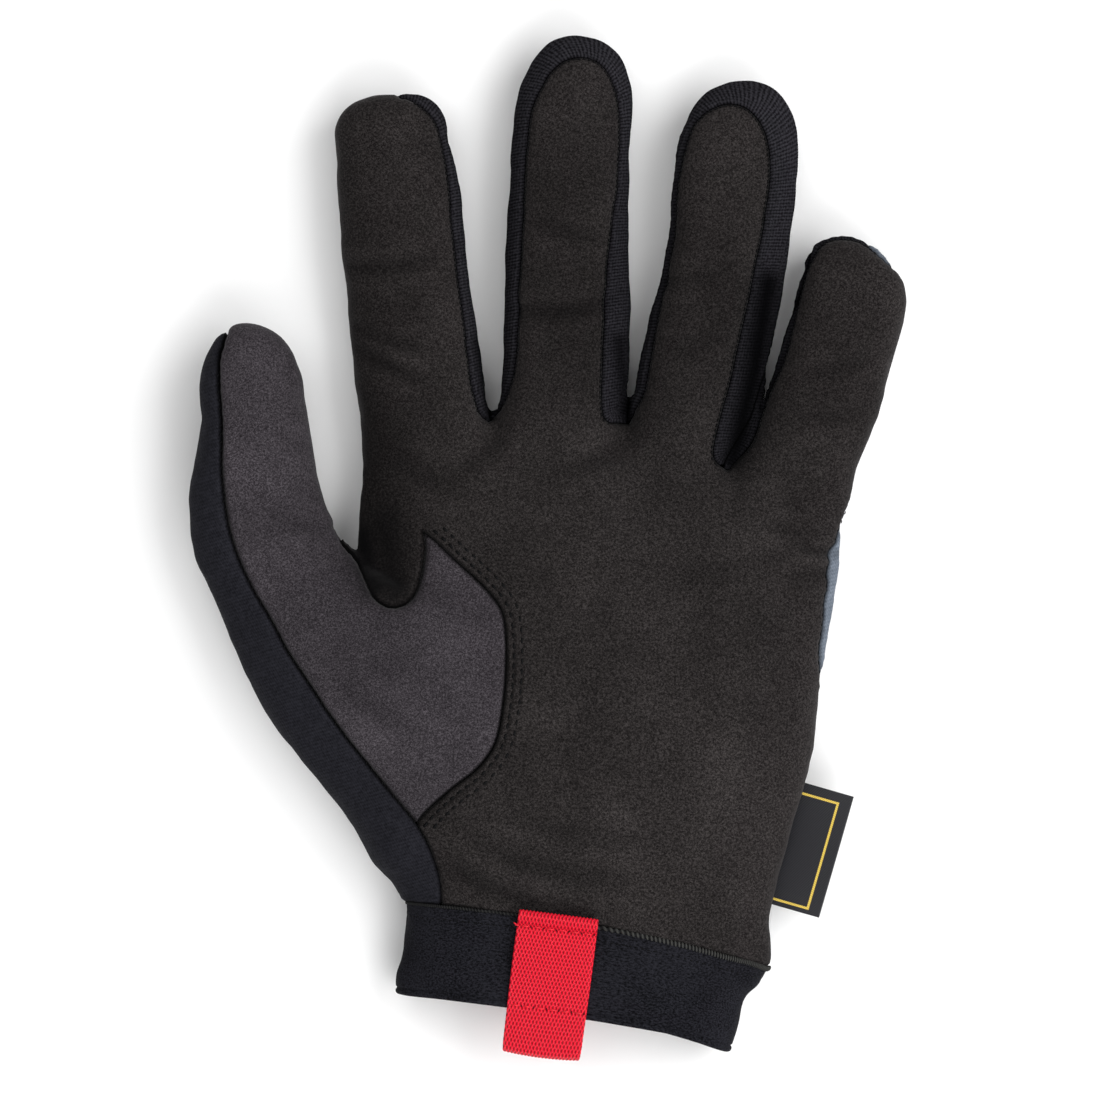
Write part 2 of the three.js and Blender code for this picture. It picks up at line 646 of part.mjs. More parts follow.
const palmPanel = () => shell.intersect(upper).intersect(prism(palmZone));
const thumbPanel = () => shell.intersect(thumbUpper).intersect(prism(thumbZone)).subtract(palmGrown);
const thumbBackPanel = () =>
  shell
    .intersect(prism(thumbBackZone))
    .subtract(upperGrown.intersect(palmGrown))
    .subtract(thumbUpperGrown.intersect(thumbGrown));
const backPanel = () => shell.subtract(upperGrown).subtract(thumbBackGrown).subtract(sideGrown);

const webLines = {
  outside: [digitPoint(index, 0.05, -0.2), digitPoint(index, 0.3, -0.65), digitPoint(index, 1.3, -0.65)],
  index: seamPoints(index, WEB_LINES.index),
  middle: seamPoints(middle, WEB_LINES.middle),
  ring: seamPoints(ring, WEB_LINES.ring),
  end: [digitPoint(little, 0.05, 0.2), digitPoint(little, 0.6, 1.2), digitPoint(little, 1.3, 1.2)],
};
const shiftLine = (line, distance) => line.map(({ x, y }) => new THREE.Vector2(x + distance, y));

function gusset(leftLine, rightLine) {
  const half = SEAM_GAP / 2;
  const zone = prism(fingerOutline(shiftLine(leftLine, half), shiftLine(rightLine, -half)));
  return shell.intersect(upper).intersect(zone).subtract(palmGrown).subtract(sideGrown);
}

// The side panel lies below the seam, beside the palm's outer edge and at the little fingertip.
const sidePanel = () => shell.intersect(prism(sideZone)).subtract(upperGrown.intersect(palmGrown));

// The cuff band: an elastic tube, a seam's gap below the panels and a little proud of them.
function cuffBand() {
  const outer = CUFF_ROWS.map((row) => sectionRing(cuffSection(row, SEAM_GAP, CUFF_PROUD), PALM_SIDES, 0));
  const inner = CUFF_ROWS.map((row, i) => {
    const section = cuffSection(row, SEAM_GAP, CUFF_PROUD);
    const past = i === 0 ? -1 : i === CUFF_ROWS.length - 1 ? 1 : 0;
    section.left.addScaledVector(wristward, past);
    section.right.addScaledVector(wristward, past);
    return sectionRing(section, PALM_SIDES, CUFF_WALL);
  });
  const tube = loft(outer.reverse()).intersect(aboveTable(0));
  return tube.subtract(loft(inner.reverse()).intersect(aboveTable(CUFF_WALL)));
}

// The pull tab: one strip of webbing that lies on the cuff, folds past the hem and ends inside it.
const TAB_SEAM_X = -0.09; // where it crosses the cuff seam, as a share of PALM_WIDTH
const TAB_RISE = 0.3; // how steeply the palm climbs from the cuff under the tab
const TAB_FOLD_STEPS = 6;
function pullTab() {
  const cuffTop = (row) => row.top * PALM_THICKNESS + CUFF_PROUD;
  const half = TAB_THICKNESS / 2;
  const lift = SEAM_GAP + half;
  const hemTop = cuffTop(CUFF_ROWS[CUFF_ROWS.length - 1]);
  const upperLeg = hemTop + lift;
  const lowerLeg = hemTop - CUFF_WALL - SEAM_GAP - lift;
  const foldRadius = (upperLeg - lowerLeg) / 2;
  const end = CUFF_HEIGHT + TAB_OVERHANG - foldRadius;
  const line = [
    new THREE.Vector2(-TAB_LAP, cuffTop(CUFF_ROWS[0]) + lift + TAB_LAP * TAB_RISE),
    ...CUFF_ROWS.map((row) => new THREE.Vector2(CUFF_HEIGHT * row.down, cuffTop(row) + lift)),
    new THREE.Vector2(end, upperLeg),
  ];
  for (let k = 1; k < TAB_FOLD_STEPS; k++) {
    const turn = (Math.PI * k) / TAB_FOLD_STEPS;
    const x = end + foldRadius * Math.sin(turn);
    line.push(new THREE.Vector2(x, upperLeg - foldRadius * (1 - Math.cos(turn))));
  }
  line.push(new THREE.Vector2(end, lowerLeg), new THREE.Vector2(CUFF_HEIGHT - TAB_RETURN, lowerLeg));
  const side = (offset) =>
    line.map((point, i) => {
      const next = line[Math.min(i + 1, line.length - 1)];
      const ahead = next.clone().sub(line[Math.max(i - 1, 0)]).normalize();
      return point.clone().add(new THREE.Vector2(-ahead.y, ahead.x).multiplyScalar(offset));
    });
  const strip = new THREE.Shape([...side(half), ...side(-half).reverse()]);
  const geometry = new THREE.ExtrudeGeometry(strip, { depth: TAB_WIDTH, bevelEnabled: false });
  geometry.translate(0, 0, -TAB_WIDTH / 2);
  // The strip's length runs to -Y and its width across, before the tab's own tilt.
  const lay = new THREE.Matrix4().set(0, 0, -1, 0, -1, 0, 0, 0, 0, 1, 0, 0, 0, 0, 0, 1);
  geometry.applyMatrix4(lay).rotateZ(THREE.MathUtils.degToRad(-TAB_TILT));
  const start = onSeam(TAB_SEAM_X);
  return solidOf(geometry.translate(start.x, start.y, 0));
}

// The side label: a flat folded tape whose root lies along the hand's outer edge.
const LABEL_AT = -0.299; // its middle, as a share of PALM_LENGTH
function sideLabel() {
  const [lower, higher] = [palmSection(PALM_ROWS[1]), palmSection(PALM_ROWS[2])];
  const edge = higher.right.clone().sub(lower.right).normalize();
  const outward = new THREE.Vector2(edge.y, -edge.x);
  const share = (LABEL_AT * PALM_LENGTH - lower.right.y) / (higher.right.y - lower.right.y);
  const root = lower.right.clone().lerp(higher.right, share).addScaledVector(outward, SEAM_GAP);
  const top = THREE.MathUtils.lerp(lower.top, higher.top, share);
  const waist = lower.base + WAIST_SHARE * (top - lower.base);
  const half = LABEL_THICKNESS / 2;
  const outline = new THREE.Shape();
  outline.moveTo(0, -half);
  outline.lineTo(LABEL_WIDTH - half, -half - LABEL_TILT);
  outline.absarc(LABEL_WIDTH - half, -LABEL_TILT, half, -Math.PI / 2, Math.PI / 2, false);
  outline.lineTo(0, half);
  const geometry = new THREE.ExtrudeGeometry(outline, {
    depth: LABEL_LENGTH,
    bevelEnabled: false,
    curveSegments: 4,
  });
  geometry.translate(0, 0, -LABEL_LENGTH / 2);
  const stand = new THREE.Matrix4().set(
    outward.x, 0, -edge.x, root.x,
    outward.y, 0, -edge.y, root.y,
    0, 1, 0, waist,
    0, 0, 0, 1,
  );
  return solidOf(geometry.applyMatrix4(stand));
}

const glove = new THREE.Group();
glove.add(
  meshOf(palmPanel(), "palm_panel", palmSuede),
  meshOf(thumbPanel(), "thumb_panel", thumbSuede),
  meshOf(thumbBackPanel(), "thumb_back_panel", blackKnit),
  meshOf(backPanel(), "back_panel", blackKnit),
  meshOf(sidePanel(), "side_panel", greyKnit),
  meshOf(gusset(webLines.outside, webLines.index), "index_gusset", blackKnit),
  meshOf(gusset(webLines.index, webLines.middle), "middle_gusset", blackKnit),
  meshOf(gusset(webLines.middle, webLines.ring), "ring_gusset", blackKnit),
  meshOf(gusset(webLines.ring, webLines.end), "little_gusset", blackKnit),
  meshOf(cuffBand(), "cuff_band", cuffElastic),
  meshOf(pullTab(), "pull_tab", redWebbing),
  meshOf(sideLabel(), "side_label", labelSatin),
);

export default glove;
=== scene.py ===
"""A left-hand mechanic's glove lying on its back, palm up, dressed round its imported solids.

All shapes are worked out in millimetres in the frame of the solids: +Y to the fingertips, +X to the
little finger, +Z out of the palm. The skin of suede and knit is the surface where a smooth field of
the hand's form is zero. It is cut into panels along the seam lines, and each panel gets its wall.
"""
import math

import bpy
import numpy as np
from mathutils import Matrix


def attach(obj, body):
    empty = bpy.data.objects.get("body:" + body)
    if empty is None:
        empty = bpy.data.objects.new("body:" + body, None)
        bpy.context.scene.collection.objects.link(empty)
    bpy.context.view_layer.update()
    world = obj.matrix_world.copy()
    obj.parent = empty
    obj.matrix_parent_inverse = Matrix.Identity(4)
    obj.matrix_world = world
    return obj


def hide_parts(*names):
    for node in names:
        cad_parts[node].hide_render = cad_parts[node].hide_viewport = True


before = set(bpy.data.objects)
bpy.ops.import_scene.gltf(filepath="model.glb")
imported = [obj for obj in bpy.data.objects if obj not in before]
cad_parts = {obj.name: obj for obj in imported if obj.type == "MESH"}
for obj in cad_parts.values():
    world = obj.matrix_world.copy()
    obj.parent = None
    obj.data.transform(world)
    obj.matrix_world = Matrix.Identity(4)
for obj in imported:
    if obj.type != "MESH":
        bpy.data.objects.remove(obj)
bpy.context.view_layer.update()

MM = 0.001

# ------------------------------------------------------------------ sizes, as the solids have them
PALM_THICKNESS = 28.0
WALL = 1.3
CUFF_HEIGHT = 21.0
TAB_WIDTH = 19.0
TAB_THICKNESS = 1.2
WEFT = 0.96  # spacing of the webbing's rows
WARP = 0.85  # spacing of its floats along a row
LABEL_LENGTH = 30.2
LABEL_WIDTH = 12.6
WAIST = 0.44  # height of a section's widest line, as a share of its thickness
BACK_POWER = 2.9  # squareness of the back
LATTICE = 0.95  # spacing of the field's lattice

# Outline of the palm: y, x of its left and right edge.
PALM_LEFT = [(-80, -48.6), (-60, -47.4), (-48.8, -47.4), (-40.3, -50.6), (-26.5, -53.4), (-8, -55.7),
             (11.5, -56.8), (27.6, -58.2), (42.6, -57.7), (55.2, -56.6), (69, -56.1), (85, -55)]
PALM_RIGHT = [(-80, 36), (-66, 40.3), (-58, 41.0), (-49.5, 40.8), (-29.9, 46.2), (-19.2, 49.0), (-8, 51.3),
              (10, 53.9), (21, 55.6), (30, 57.0), (35.3, 57.4), (42, 58.4), (48.3, 60), (53.8, 61.5), (70, 66)]
# Heights of the palm along its sheared length: v, top as a share of the thickness, and how square
# its left and right shoulders are.
PALM_SHEAR = 0.165
PALM_HEIGHT = [(-90, 0.72, 2.6, 2.6), (-57, 0.76, 2.6, 2.6), (-46, 0.84, 2.6, 2.5), (-32, 0.93, 2.6, 2.4),
               (-10, 0.97, 2.4, 2.4), (10, 0.96, 2.0, 2.4), (26, 0.92, 1.7, 2.4), (41, 0.85, 1.8, 2.4),
               (51, 0.75, 2.2, 2.4), (60, 0.6, 2.4, 2.4), (68, 0.45, 2.4, 2.4), (80, 0.4, 2.4, 2.4)]
PALM_HOLLOW = 1.6

# The digits: root in millimetres, angle clockwise from +Y, and tables of at, side and at, base, top
# as shares of the length, the width and the thickness.
DIGITS = {
    "index": dict(
        root=(-40.25, 47.95), angle=-5.6, length=97.7, width=30, thickness=19, powers=(2.5, 2.3), end=3.0, tip=0.0,
        left=[(0, -0.52), (0.1, -0.51), (0.2, -0.503), (0.3, -0.512), (0.4, -0.52), (0.6, -0.52), (0.7, -0.513),
              (0.8, -0.503), (0.88, -0.483)],
        right=[(0, 0.52), (0.15, 0.56), (0.215, 0.555), (0.25, 0.515), (0.3, 0.497), (0.4, 0.48), (0.5, 0.465),
               (0.6, 0.463), (0.7, 0.457), (0.8, 0.44), (0.88, 0.405)],
        height=[(0, 0, 0.8), (0.1, 0, 0.96), (0.2, 0, 1.05), (0.3, 0.005, 1.03), (0.4, 0.02, 1.0), (0.6, 0.06, 1.03),
                (0.8, 0.12, 1.03), (0.88, 0.16, 1.0)]),
    "middle": dict(
        root=(-8.9, 47.95), angle=1.7, length=111.4, width=30, thickness=19, powers=(2.3, 2.0), end=2.4, tip=0.045,
        left=[(0, -0.58), (0.13, -0.6), (0.19, -0.6), (0.23, -0.54), (0.28, -0.517), (0.4, -0.515), (0.6, -0.513),
              (0.7, -0.505), (0.8, -0.48)],
        right=[(0, 0.56), (0.15, 0.53), (0.2, 0.508), (0.3, 0.495), (0.4, 0.497), (0.5, 0.48), (0.6, 0.46),
               (0.7, 0.457), (0.8, 0.46)],
        height=[(0, 0, 0.8), (0.1, 0, 0.98), (0.2, 0, 1.05), (0.3, 0.005, 1.03), (0.42, 0.02, 1.0), (0.6, 0.06, 1.03),
                (0.8, 0.13, 1.05)]),
    "ring": dict(
        root=(21.58, 47.95), angle=7.0, length=101.6, width=31, thickness=18.5, powers=(2.5, 1.75), end=2.3, tip=0.01,
        left=[(0, -0.58), (0.13, -0.58), (0.2, -0.57), (0.24, -0.53), (0.3, -0.522), (0.35, -0.51), (0.4, -0.49),
              (0.5, -0.452), (0.6, -0.432), (0.7, -0.432), (0.79, -0.428)],
        right=[(0, 0.46), (0.2, 0.462), (0.3, 0.467), (0.4, 0.502), (0.5, 0.516), (0.6, 0.523), (0.7, 0.523),
               (0.79, 0.516)],
        height=[(0, 0, 0.8), (0.1, 0, 0.98), (0.2, 0, 1.05), (0.3, 0.005, 1.04), (0.42, 0.02, 1.02), (0.6, 0.06, 1.05),
                (0.79, 0.13, 1.05)]),
    "little": dict(
        root=(46.8, 45.6), angle=12.6, length=67.4, width=27, thickness=17.5, powers=(2.4, 2.3), end=1.8, tip=-0.11,
        left=[(0, -0.56), (0.2, -0.515), (0.3, -0.487), (0.4, -0.464), (0.5, -0.446), (0.6, -0.441), (0.7, -0.43),
              (0.8, -0.415), (0.84, -0.4)],
        right=[(0, 0.45), (0.1, 0.467), (0.2, 0.47), (0.3, 0.496), (0.4, 0.519), (0.5, 0.537), (0.6, 0.556),
               (0.7, 0.574), (0.8, 0.56), (0.84, 0.535)],
        height=[(0, 0, 0.8), (0.1, 0, 0.96), (0.2, 0, 1.04), (0.3, 0.01, 1.04), (0.4, 0.03, 1.04), (0.6, 0.07, 1.05),
                (0.74, 0.11, 1.05), (0.84, 0.15, 1.02)]),
    "thumb": dict(
        root=(-43.2, -36.0), angle=-17.85, length=133.1, width=30, thickness=22, powers=(2.2, 2.0), end=2.1, tip=0.087,
        left=[(-0.06, -0.3), (0, -0.375), (0.093, -0.49), (0.21, -0.665), (0.3, -0.805), (0.4, -0.88), (0.495, -0.93),
              (0.566, -0.96), (0.635, -0.97), (0.71, -0.915), (0.761, -0.83), (0.825, -0.675), (0.86, -0.6)],
        right=[(0, 0.3), (0.127, 0.717), (0.25, 1.117), (0.34, 1.25), (0.41, 1.05), (0.46, 0.65), (0.512, 0.33),
               (0.55, 0.25), (0.6, 0.172), (0.65, 0.135), (0.7, 0.148), (0.76, 0.18), (0.82, 0.222), (0.86, 0.26)],
        height=[(-0.03, 0, 0.95), (0.11, 0, 1.12), (0.23, 0, 1.25), (0.34, 0, 1.3), (0.43, 0.02, 1.26),
                (0.495, 0.06, 1.17), (0.545, 0.1, 1.1), (0.62, 0.14, 1.07), (0.735, 0.2, 1.1), (0.86, 0.25, 1.12)]),
}

# Seam lines as points of a digit: share of the length, share of the width.
SEAMS = {
    "index": [(0.2, 0.46), (0.26, 0.425), (0.32, 0.407), (0.455, 0.393), (0.635, 0.391), (0.8, 0.382), (0.905, 0.345),
              (0.955, 0.255), (0.985, 0.14), (1.0, 0.04), (1.1, -0.12)],
    "middle": [(0.201, -0.526), (0.235, -0.475), (0.277, -0.438), (0.363, -0.416), (0.483, -0.405), (0.679, -0.397),
               (0.821, -0.354), (0.891, -0.26), (0.923, -0.176), (0.943, -0.079), (0.951, 0.068), (0.938, 0.201),
               (0.903, 0.306), (0.85, 0.371), (0.788, 0.386), (0.685, 0.373), (0.598, 0.327), (0.488, 0.307),
               (0.332, 0.288), (0.214, 0.289), (0.18, 0.31), (0.168, 0.36)],
    "ring": [(0.201, -0.517), (0.23, -0.48), (0.261, -0.459), (0.414, -0.439), (0.569, -0.399), (0.76, -0.39),
             (0.865, -0.347), (0.895, -0.3), (0.918, -0.227), (0.936, -0.094), (0.932, 0.052), (0.902, 0.177),
             (0.854, 0.266), (0.787, 0.314), (0.673, 0.312), (0.55, 0.276), (0.435, 0.251), (0.286, 0.198),
             (0.18, 0.145), (0.125, 0.13), (0.1, 0.15), (0.088, 0.207)],
    "little": [(0.16, -0.549), (0.218, -0.499), (0.367, -0.46), (0.558, -0.405), (0.771, -0.395), (0.88, -0.358),
               (0.945, -0.29), (0.975, -0.2), (0.99, -0.05), (0.98, 0.1), (0.925, 0.377), (0.87, 0.75)],
    "thumb": [(-0.02, 0.09), (0.02, 0.077), (0.054, 0.043), (0.176, -0.177), (0.3, -0.367), (0.414, -0.51),
              (0.476, -0.557), (0.534, -0.62), (0.588, -0.66), (0.64, -0.662), (0.672, -0.647), (0.737, -0.597),
              (0.808, -0.51), (0.879, -0.42), (0.95, -0.327), (0.982, -0.24), (1.03, -0.12), (1.1, -0.02)],
}
WEBS = {
    "index": [(0.12, 0.51), (0.2, 0.535), (0.3, 0.54), (0.75, 0.72), (1.3, 0.9)],
    "middle": [(0.12, 0.5), (0.25, 0.515), (0.7, 0.78), (1.3, 1.1)],
    "ring": [(0.05, 0.17), (0.11, 0.25), (0.2, 0.375), (0.3, 0.45), (0.4, 0.52), (0.62, 0.68), (1.3, 0.9)],
}
# Seam lines of the palm in millimetres.
THENAR = [(-43.7, -29.3), (-40.6, -25.7), (-35.4, -20.9), (-29.3, -16.1), (-25.0, -10.1), (-23.1, -1.3),
          (-22.3, 9.1), (-22.6, 17.9), (-24.0, 22.7), (-28.3, 27.9), (-34.6, 33.6), (-39.7, 38.4), (-42.7, 40.6)]
CROTCH = [(-42.7, 40.6), (-42.2, 36.5), (-42.7, 31.4), (-44.2, 26.2), (-46.8, 23.8), (-50.2, 23.3),
          (-53.5, 25.4), (-55.2, 28.8), (-57.6, 34.3), (-60.5, 38.0)]
WRIST = [(-38.4, -60), (-38.2, -47.0), (-38.9, -41.4), (-41.0, -34.5), (-43.7, -29.3)]
THUMB_BACK = [(-61.5, 38.5), (-51, 18.4), (-41.8, -9.2), (-38.3, -34.5), (-38.3, -52)]
SIDE = [(21, -74), (29, -34.5), (38.3, 5.8), (46.4, 46)]
OUTER = [(66, 58), (62.5, 50), (59.3, 43.5), (56.6, 38.5), (54.9, 33), (54.6, 27), (53.6, 19), (52.9, 9), (54.5, 1), (58, -4)]
# Height of the seam between the palm side and the back, against y.
BACK_SEAM = [(-300, 4.5), (86, 4.5), (121, 5.8), (161, 7.4), (400, 7.4)]
THUMB_SEAM = [(-300, 4.5), (17, 4.5), (52, 7.6), (86, 11.5), (400, 11.5)]
GAP = 0.05
CUFF_ARCH = 3.0

# ------------------------------------------------------------------ curves and tables


def through(points, steps=10):
    """Curve through chosen points: each span is the cubic that has, at either end, half the step
    from the point before to the point after as its slope."""
    p = np.asarray(points, float)
    q = np.vstack([2 * p[:1] - p[1:2], p, 2 * p[-1:] - p[-2:-1]])
    t = np.linspace(0, 1, steps, endpoint=False)[None, :, None]
    a, b, c, d = q[:-3, None], q[1:-2, None], q[2:-1, None], q[3:, None]
    s = 0.5 * (2 * b + (c - a) * t + (2 * a - 5 * b + 4 * c - d) * t**2 + (3 * b - a - 3 * c + d) * t**3)
    return np.vstack([s.reshape(-1, p.shape[1]), p[-1:]])


def table(rows, at):
    """Smooth value of a table at the given places: the curve through its rows, read by its first column."""
    curve = through(rows, 12)
    x = np.maximum.accumulate(curve[:, 0] + np.arange(len(curve)) * 1e-9)
    return [np.interp(at, x, column) for column in curve[:, 1:].T]


def digit_axes(digit):
    turn = math.radians(digit["angle"])
    return np.array([math.sin(turn), math.cos(turn)]), np.array([math.cos(turn), -math.sin(turn)])


def digit_points(name, rows):
    """Plan points from shares along and across a digit: root + at * length * axis + side * width * across."""
    digit = DIGITS[name]
    along, across = digit_axes(digit)
    r = np.asarray(rows, float)
    return np.array(digit["root"]) + r[:, :1] * digit["length"] * along + r[:, 1:2] * digit["width"] * across


# ------------------------------------------------------------------ the field of the hand's form
FLAT_DEPTH = 1.2
LOW = np.array([-103.0, -72.0, -2.6])
HIGH = np.array([79.0, 165.0, 33.5])
COUNTS = np.ceil((HIGH - LOW) / LATTICE).astype(int)
AXIS = [(LOW[k] + LATTICE * np.arange(COUNTS[k])).astype(np.float32) for k in range(3)]


def section_radius(a, z, base, top, left_power, right_power):
    """Superellipse radius: (|a|^p + |b|^p)^(1/p), b being the height above or below the waist as a
    share of the section's rise or depth, and p the power of that quarter."""
    waist = base + WAIST * (top - base)
    above = z > waist
    b = np.where(above, (z - waist) / (top - waist), (waist - z) / (waist - base))
    power = np.where(above, np.where(a < 0, left_power, right_power), BACK_POWER)
    return (np.abs(a) ** power + np.abs(b) ** power) ** (1 / power)


def distance_like(radius):
    """Field in millimetres near its surface: (radius - 1) over the length of the radius's gradient."""
    grads = np.gradient(radius, LATTICE)
    size = np.sqrt(grads[0] ** 2 + grads[1] ** 2 + grads[2] ** 2) + 1e-4
    return np.clip((radius - 1) / size, -14, 14).astype(np.float32)


def digit_block(name):
    """Field of one digit, and the slice of the lattice that it fills. Past the last row of its
    tables the radius is (r^q + t^q)^(1/q), t running to 1 at the fingertip."""
    digit = DIGITS[name]
    along, across = digit_axes(digit)
    root = np.array(digit["root"])
    tip = root + along * digit["length"]
    low, high = np.minimum(root, tip) - 46, np.maximum(root, tip) + 46
    first = [max(0, int((low[k] - LOW[k]) / LATTICE)) for k in range(2)]
    last = [min(COUNTS[k], int((high[k] - LOW[k]) / LATTICE) + 1) for k in range(2)]
    x = AXIS[0][first[0]:last[0], None]
    y = AXIS[1][None, first[1]:last[1]]
    u = ((x - root[0]) * along[0] + (y - root[1]) * along[1]) / digit["length"]
    w = (x - root[0]) * across[0] + (y - root[1]) * across[1]
    end = digit["height"][-1][0]
    held = np.clip(u, digit["height"][0][0], end)
    left = table(digit["left"], held)[0] * digit["width"]
    right = table(digit["right"], held)[0] * digit["width"]
    base, top = table(digit["height"], held)
    base = base * digit["thickness"] - np.where(base < 0.004, FLAT_DEPTH, 0)
    top = top * digit["thickness"]
    past = np.clip((u - end) / (1 - end), 0, None)
    centre = (left + right) / 2 + past * digit["tip"] * digit["width"]
    a = (w - centre) / ((right - left) / 2)
    before = np.clip((digit["height"][0][0] + 0.04 - u) * digit["length"] / 9, 0, None)
    z = AXIS[2][None, None, :]
    r = section_radius(a[..., None], z, base[..., None], top[..., None], *digit["powers"])
    q = digit["end"]
    r = np.where(past[..., None] > 0, (r**q + past[..., None] ** q) ** (1 / q), r)
    r = np.sqrt(r**2 + before[..., None] ** 2)
    block = (slice(first[0], last[0]), slice(first[1], last[1]), slice(None))
    return block, distance_like(r.astype(np.float32))


def palm_field():
    """Field of the palm: a superellipse section between its two outlines, whose top follows the
    sheared length v = y + shear * x, less the hollow between its pads."""
    x = AXIS[0][:, None]
    y = AXIS[1][None, :]
    left = table(PALM_LEFT, AXIS[1])[0][None, :]
    right = table(PALM_RIGHT, AXIS[1])[0][None, :]
    v = y + PALM_SHEAR * x
    top, left_power, right_power = table(PALM_HEIGHT, v)
    a = (x - (left + right) / 2) / ((right - left) / 2)
    fade = np.cos(np.pi / 2 * np.clip(np.abs(a) / 0.75, 0, 1)) ** 2
    hollow = PALM_HOLLOW * np.clip((top - 0.76) / 0.24, 0, 1) * fade
    top = top * PALM_THICKNESS - hollow
    past = np.clip((v - 55.5) / 10.8, 0, None)
    z = AXIS[2][None, None, :]
    r = section_radius(a[..., None], z, -FLAT_DEPTH, top[..., None], left_power[..., None], right_power[..., None])
    r = np.sqrt(r**2 + past[..., None] ** 2)
    return distance_like(r.astype(np.float32))


def unit_gradient(field):
    g = np.gradient(field, LATTICE)
    size = np.sqrt(g[0] ** 2 + g[1] ** 2 + g[2] ** 2) + 1e-4
    return [c / size for c in g]


def join(one, other, reach):
    """Smooth union of two fields: the lesser, less h^2 * k / 4 with h = max(k - |difference|, 0) / k.
    The reach k dies away where both surfaces run the same way, so coincident walls don't swell,
    and where they face each other, so a narrow gap between two digits stays open."""
    g, f = unit_gradient(one), unit_gradient(other)
    agree = g[0] * f[0] + g[1] * f[1] + g[2] * f[2]
    k = reach * np.clip((1 - agree) * 1.6, 0.02, 1) * np.clip(1.15 + agree, 0.1, 1)
    h = np.clip(k - np.abs(one - other), 0, None) / k
    return np.minimum(one, other) - h * h * k / 4


NOTCH = (-57.2, 34.8)  # where the thumb's outline meets the palm's
NOTCHES = [(-25.6, 72.2, 2.6, 1.3, 3.4)]  # sharp crotches between fingers: x, y, depth and half sizes


def hand_field():
    """Field of the whole hand: the palm joined to each digit in turn, pressed flat at the table. The
    thumb's join is drawn in tight round the notch beside the index finger."""
    field = palm_field()
    for name, reach in (("thumb", 6.0), ("index", 4.5), ("middle", 4.0), ("ring", 4.0), ("little", 4.5)):
        block, digit = digit_block(name)
        if name == "thumb":
            away = np.hypot(AXIS[0][block[0], None] - NOTCH[0], AXIS[1][None, block[1]] - NOTCH[1])[..., None]
            reach = 2.4 + (reach - 2.4) * np.clip((away - 5) / 14, 0, 1)
        field[block] = join(field[block], digit, reach)
    for x, y, deep, half_x, half_y in NOTCHES:
        plan = ((AXIS[0][:, None] - x) / half_x) ** 2 + ((AXIS[1][None, :] - y) / half_y) ** 2
        field = field + (deep * np.exp(-plan))[..., None].astype(np.float32)
    floor = -AXIS[2][None, None, :]
    k = 1.6
    h = np.clip(k - np.abs(field - floor), 0, None) / k
    return np.maximum(field, floor) + h * h * k / 4


def sample(grid, points):
    """Value of a lattice at any points, by straight interpolation along the three axes."""
    g = (points - LOW) / LATTICE
    i = np.clip(g.astype(int), 0, np.array(grid.shape) - 2)
    f = g - i
    value = 0
    for corner in range(8):
        o = np.array([corner & 1, corner >> 1 & 1, corner >> 2])
        weight = np.prod(np.where(o == 1, f, 1 - f), axis=1)
        value = value + weight * grid[i[:, 0] + o[0], i[:, 1] + o[1], i[:, 2] + o[2]]
    return value


def zero_surface(field):
    """Closed surface where the field is zero: one point in each cell that it crosses, at the mean of
    the crossings of the cell's edges, and one four-sided face round each crossed lattice edge."""
    inside = field < 0
    counts = np.array(field.shape) - 1
    corner = [[inside[i:i + counts[0], j:j + counts[1], k:k + counts[2]] for k in (0, 1)] for i in (0, 1) for j in (0, 1)]
    total = sum(c.astype(np.int8) for pair in corner for c in pair)
    active = (total > 0) & (total < 8)
    number = np.full(active.shape, -1)
    number[active] = np.arange(active.sum())
    cell = np.argwhere(active)
    place = np.zeros((len(cell), 3))
    hits = np.zeros(len(cell))
    for axis in range(3):
        for i in (0, 1):
            for j in (0, 1):
                start = np.insert(np.array([i, j]), axis, 0)
                end = np.insert(np.array([i, j]), axis, 1)
                p, q = cell + start, cell + end
                d0 = field[p[:, 0], p[:, 1], p[:, 2]]
                d1 = field[q[:, 0], q[:, 1], q[:, 2]]
                cross = (d0 < 0) != (d1 < 0)
                t = np.where(cross, d0 / np.where(cross, d0 - d1, 1), 0)
                place += np.where(cross[:, None], p + (q - p) * t[:, None], 0)
                hits += cross
    points = LOW + LATTICE * place / hits[:, None]
    faces = []
    for axis in range(3):
        one, two = (axis + 1) % 3, (axis + 2) % 3
        a = inside.take(range(0, inside.shape[axis] - 1), axis)
        b = inside.take(range(1, inside.shape[axis]), axis)
        at = np.argwhere(a != b)
        at = at[(at[:, one] > 0) & (at[:, two] > 0) & (at[:, one] < counts[one]) & (at[:, two] < counts[two])]
        outward = a[at[:, 0], at[:, 1], at[:, 2]]
        ring = []
        for back_one, back_two in ((1, 1), (0, 1), (0, 0), (1, 0)):
            c = at.copy()
            c[:, one] -= back_one
            c[:, two] -= back_two
            ring.append(number[c[:, 0], c[:, 1], c[:, 2]])
        quad = np.stack(ring, axis=1)
        quad[~outward] = quad[~outward][:, ::-1]
        faces.append(quad)
    return points, np.vstack(faces)


def smooth_points(points, quads, field, normals_of, rounds=4):
    """Evens the net out: each point moves half way to the mean of its neighbours, then back along
    the normal by the field's value there."""
    edges = np.vstack([quads[:, [k, (k + 1) % 4]] for k in range(4)])
    count = np.bincount(edges[:, 0], minlength=len(points)) + np.bincount(edges[:, 1], minlength=len(points))
    for _ in range(rounds):
        mean = np.stack([np.bincount(edges[:, 0], points[edges[:, 1], k], len(points))
                         + np.bincount(edges[:, 1], points[edges[:, 0], k], len(points)) for k in range(3)], axis=1)
        points = 0.5 * points + 0.5 * mean / count[:, None]
        points = points - np.clip(sample(field, points), -0.5, 0.5)[:, None] * normals_of(points)
    return points


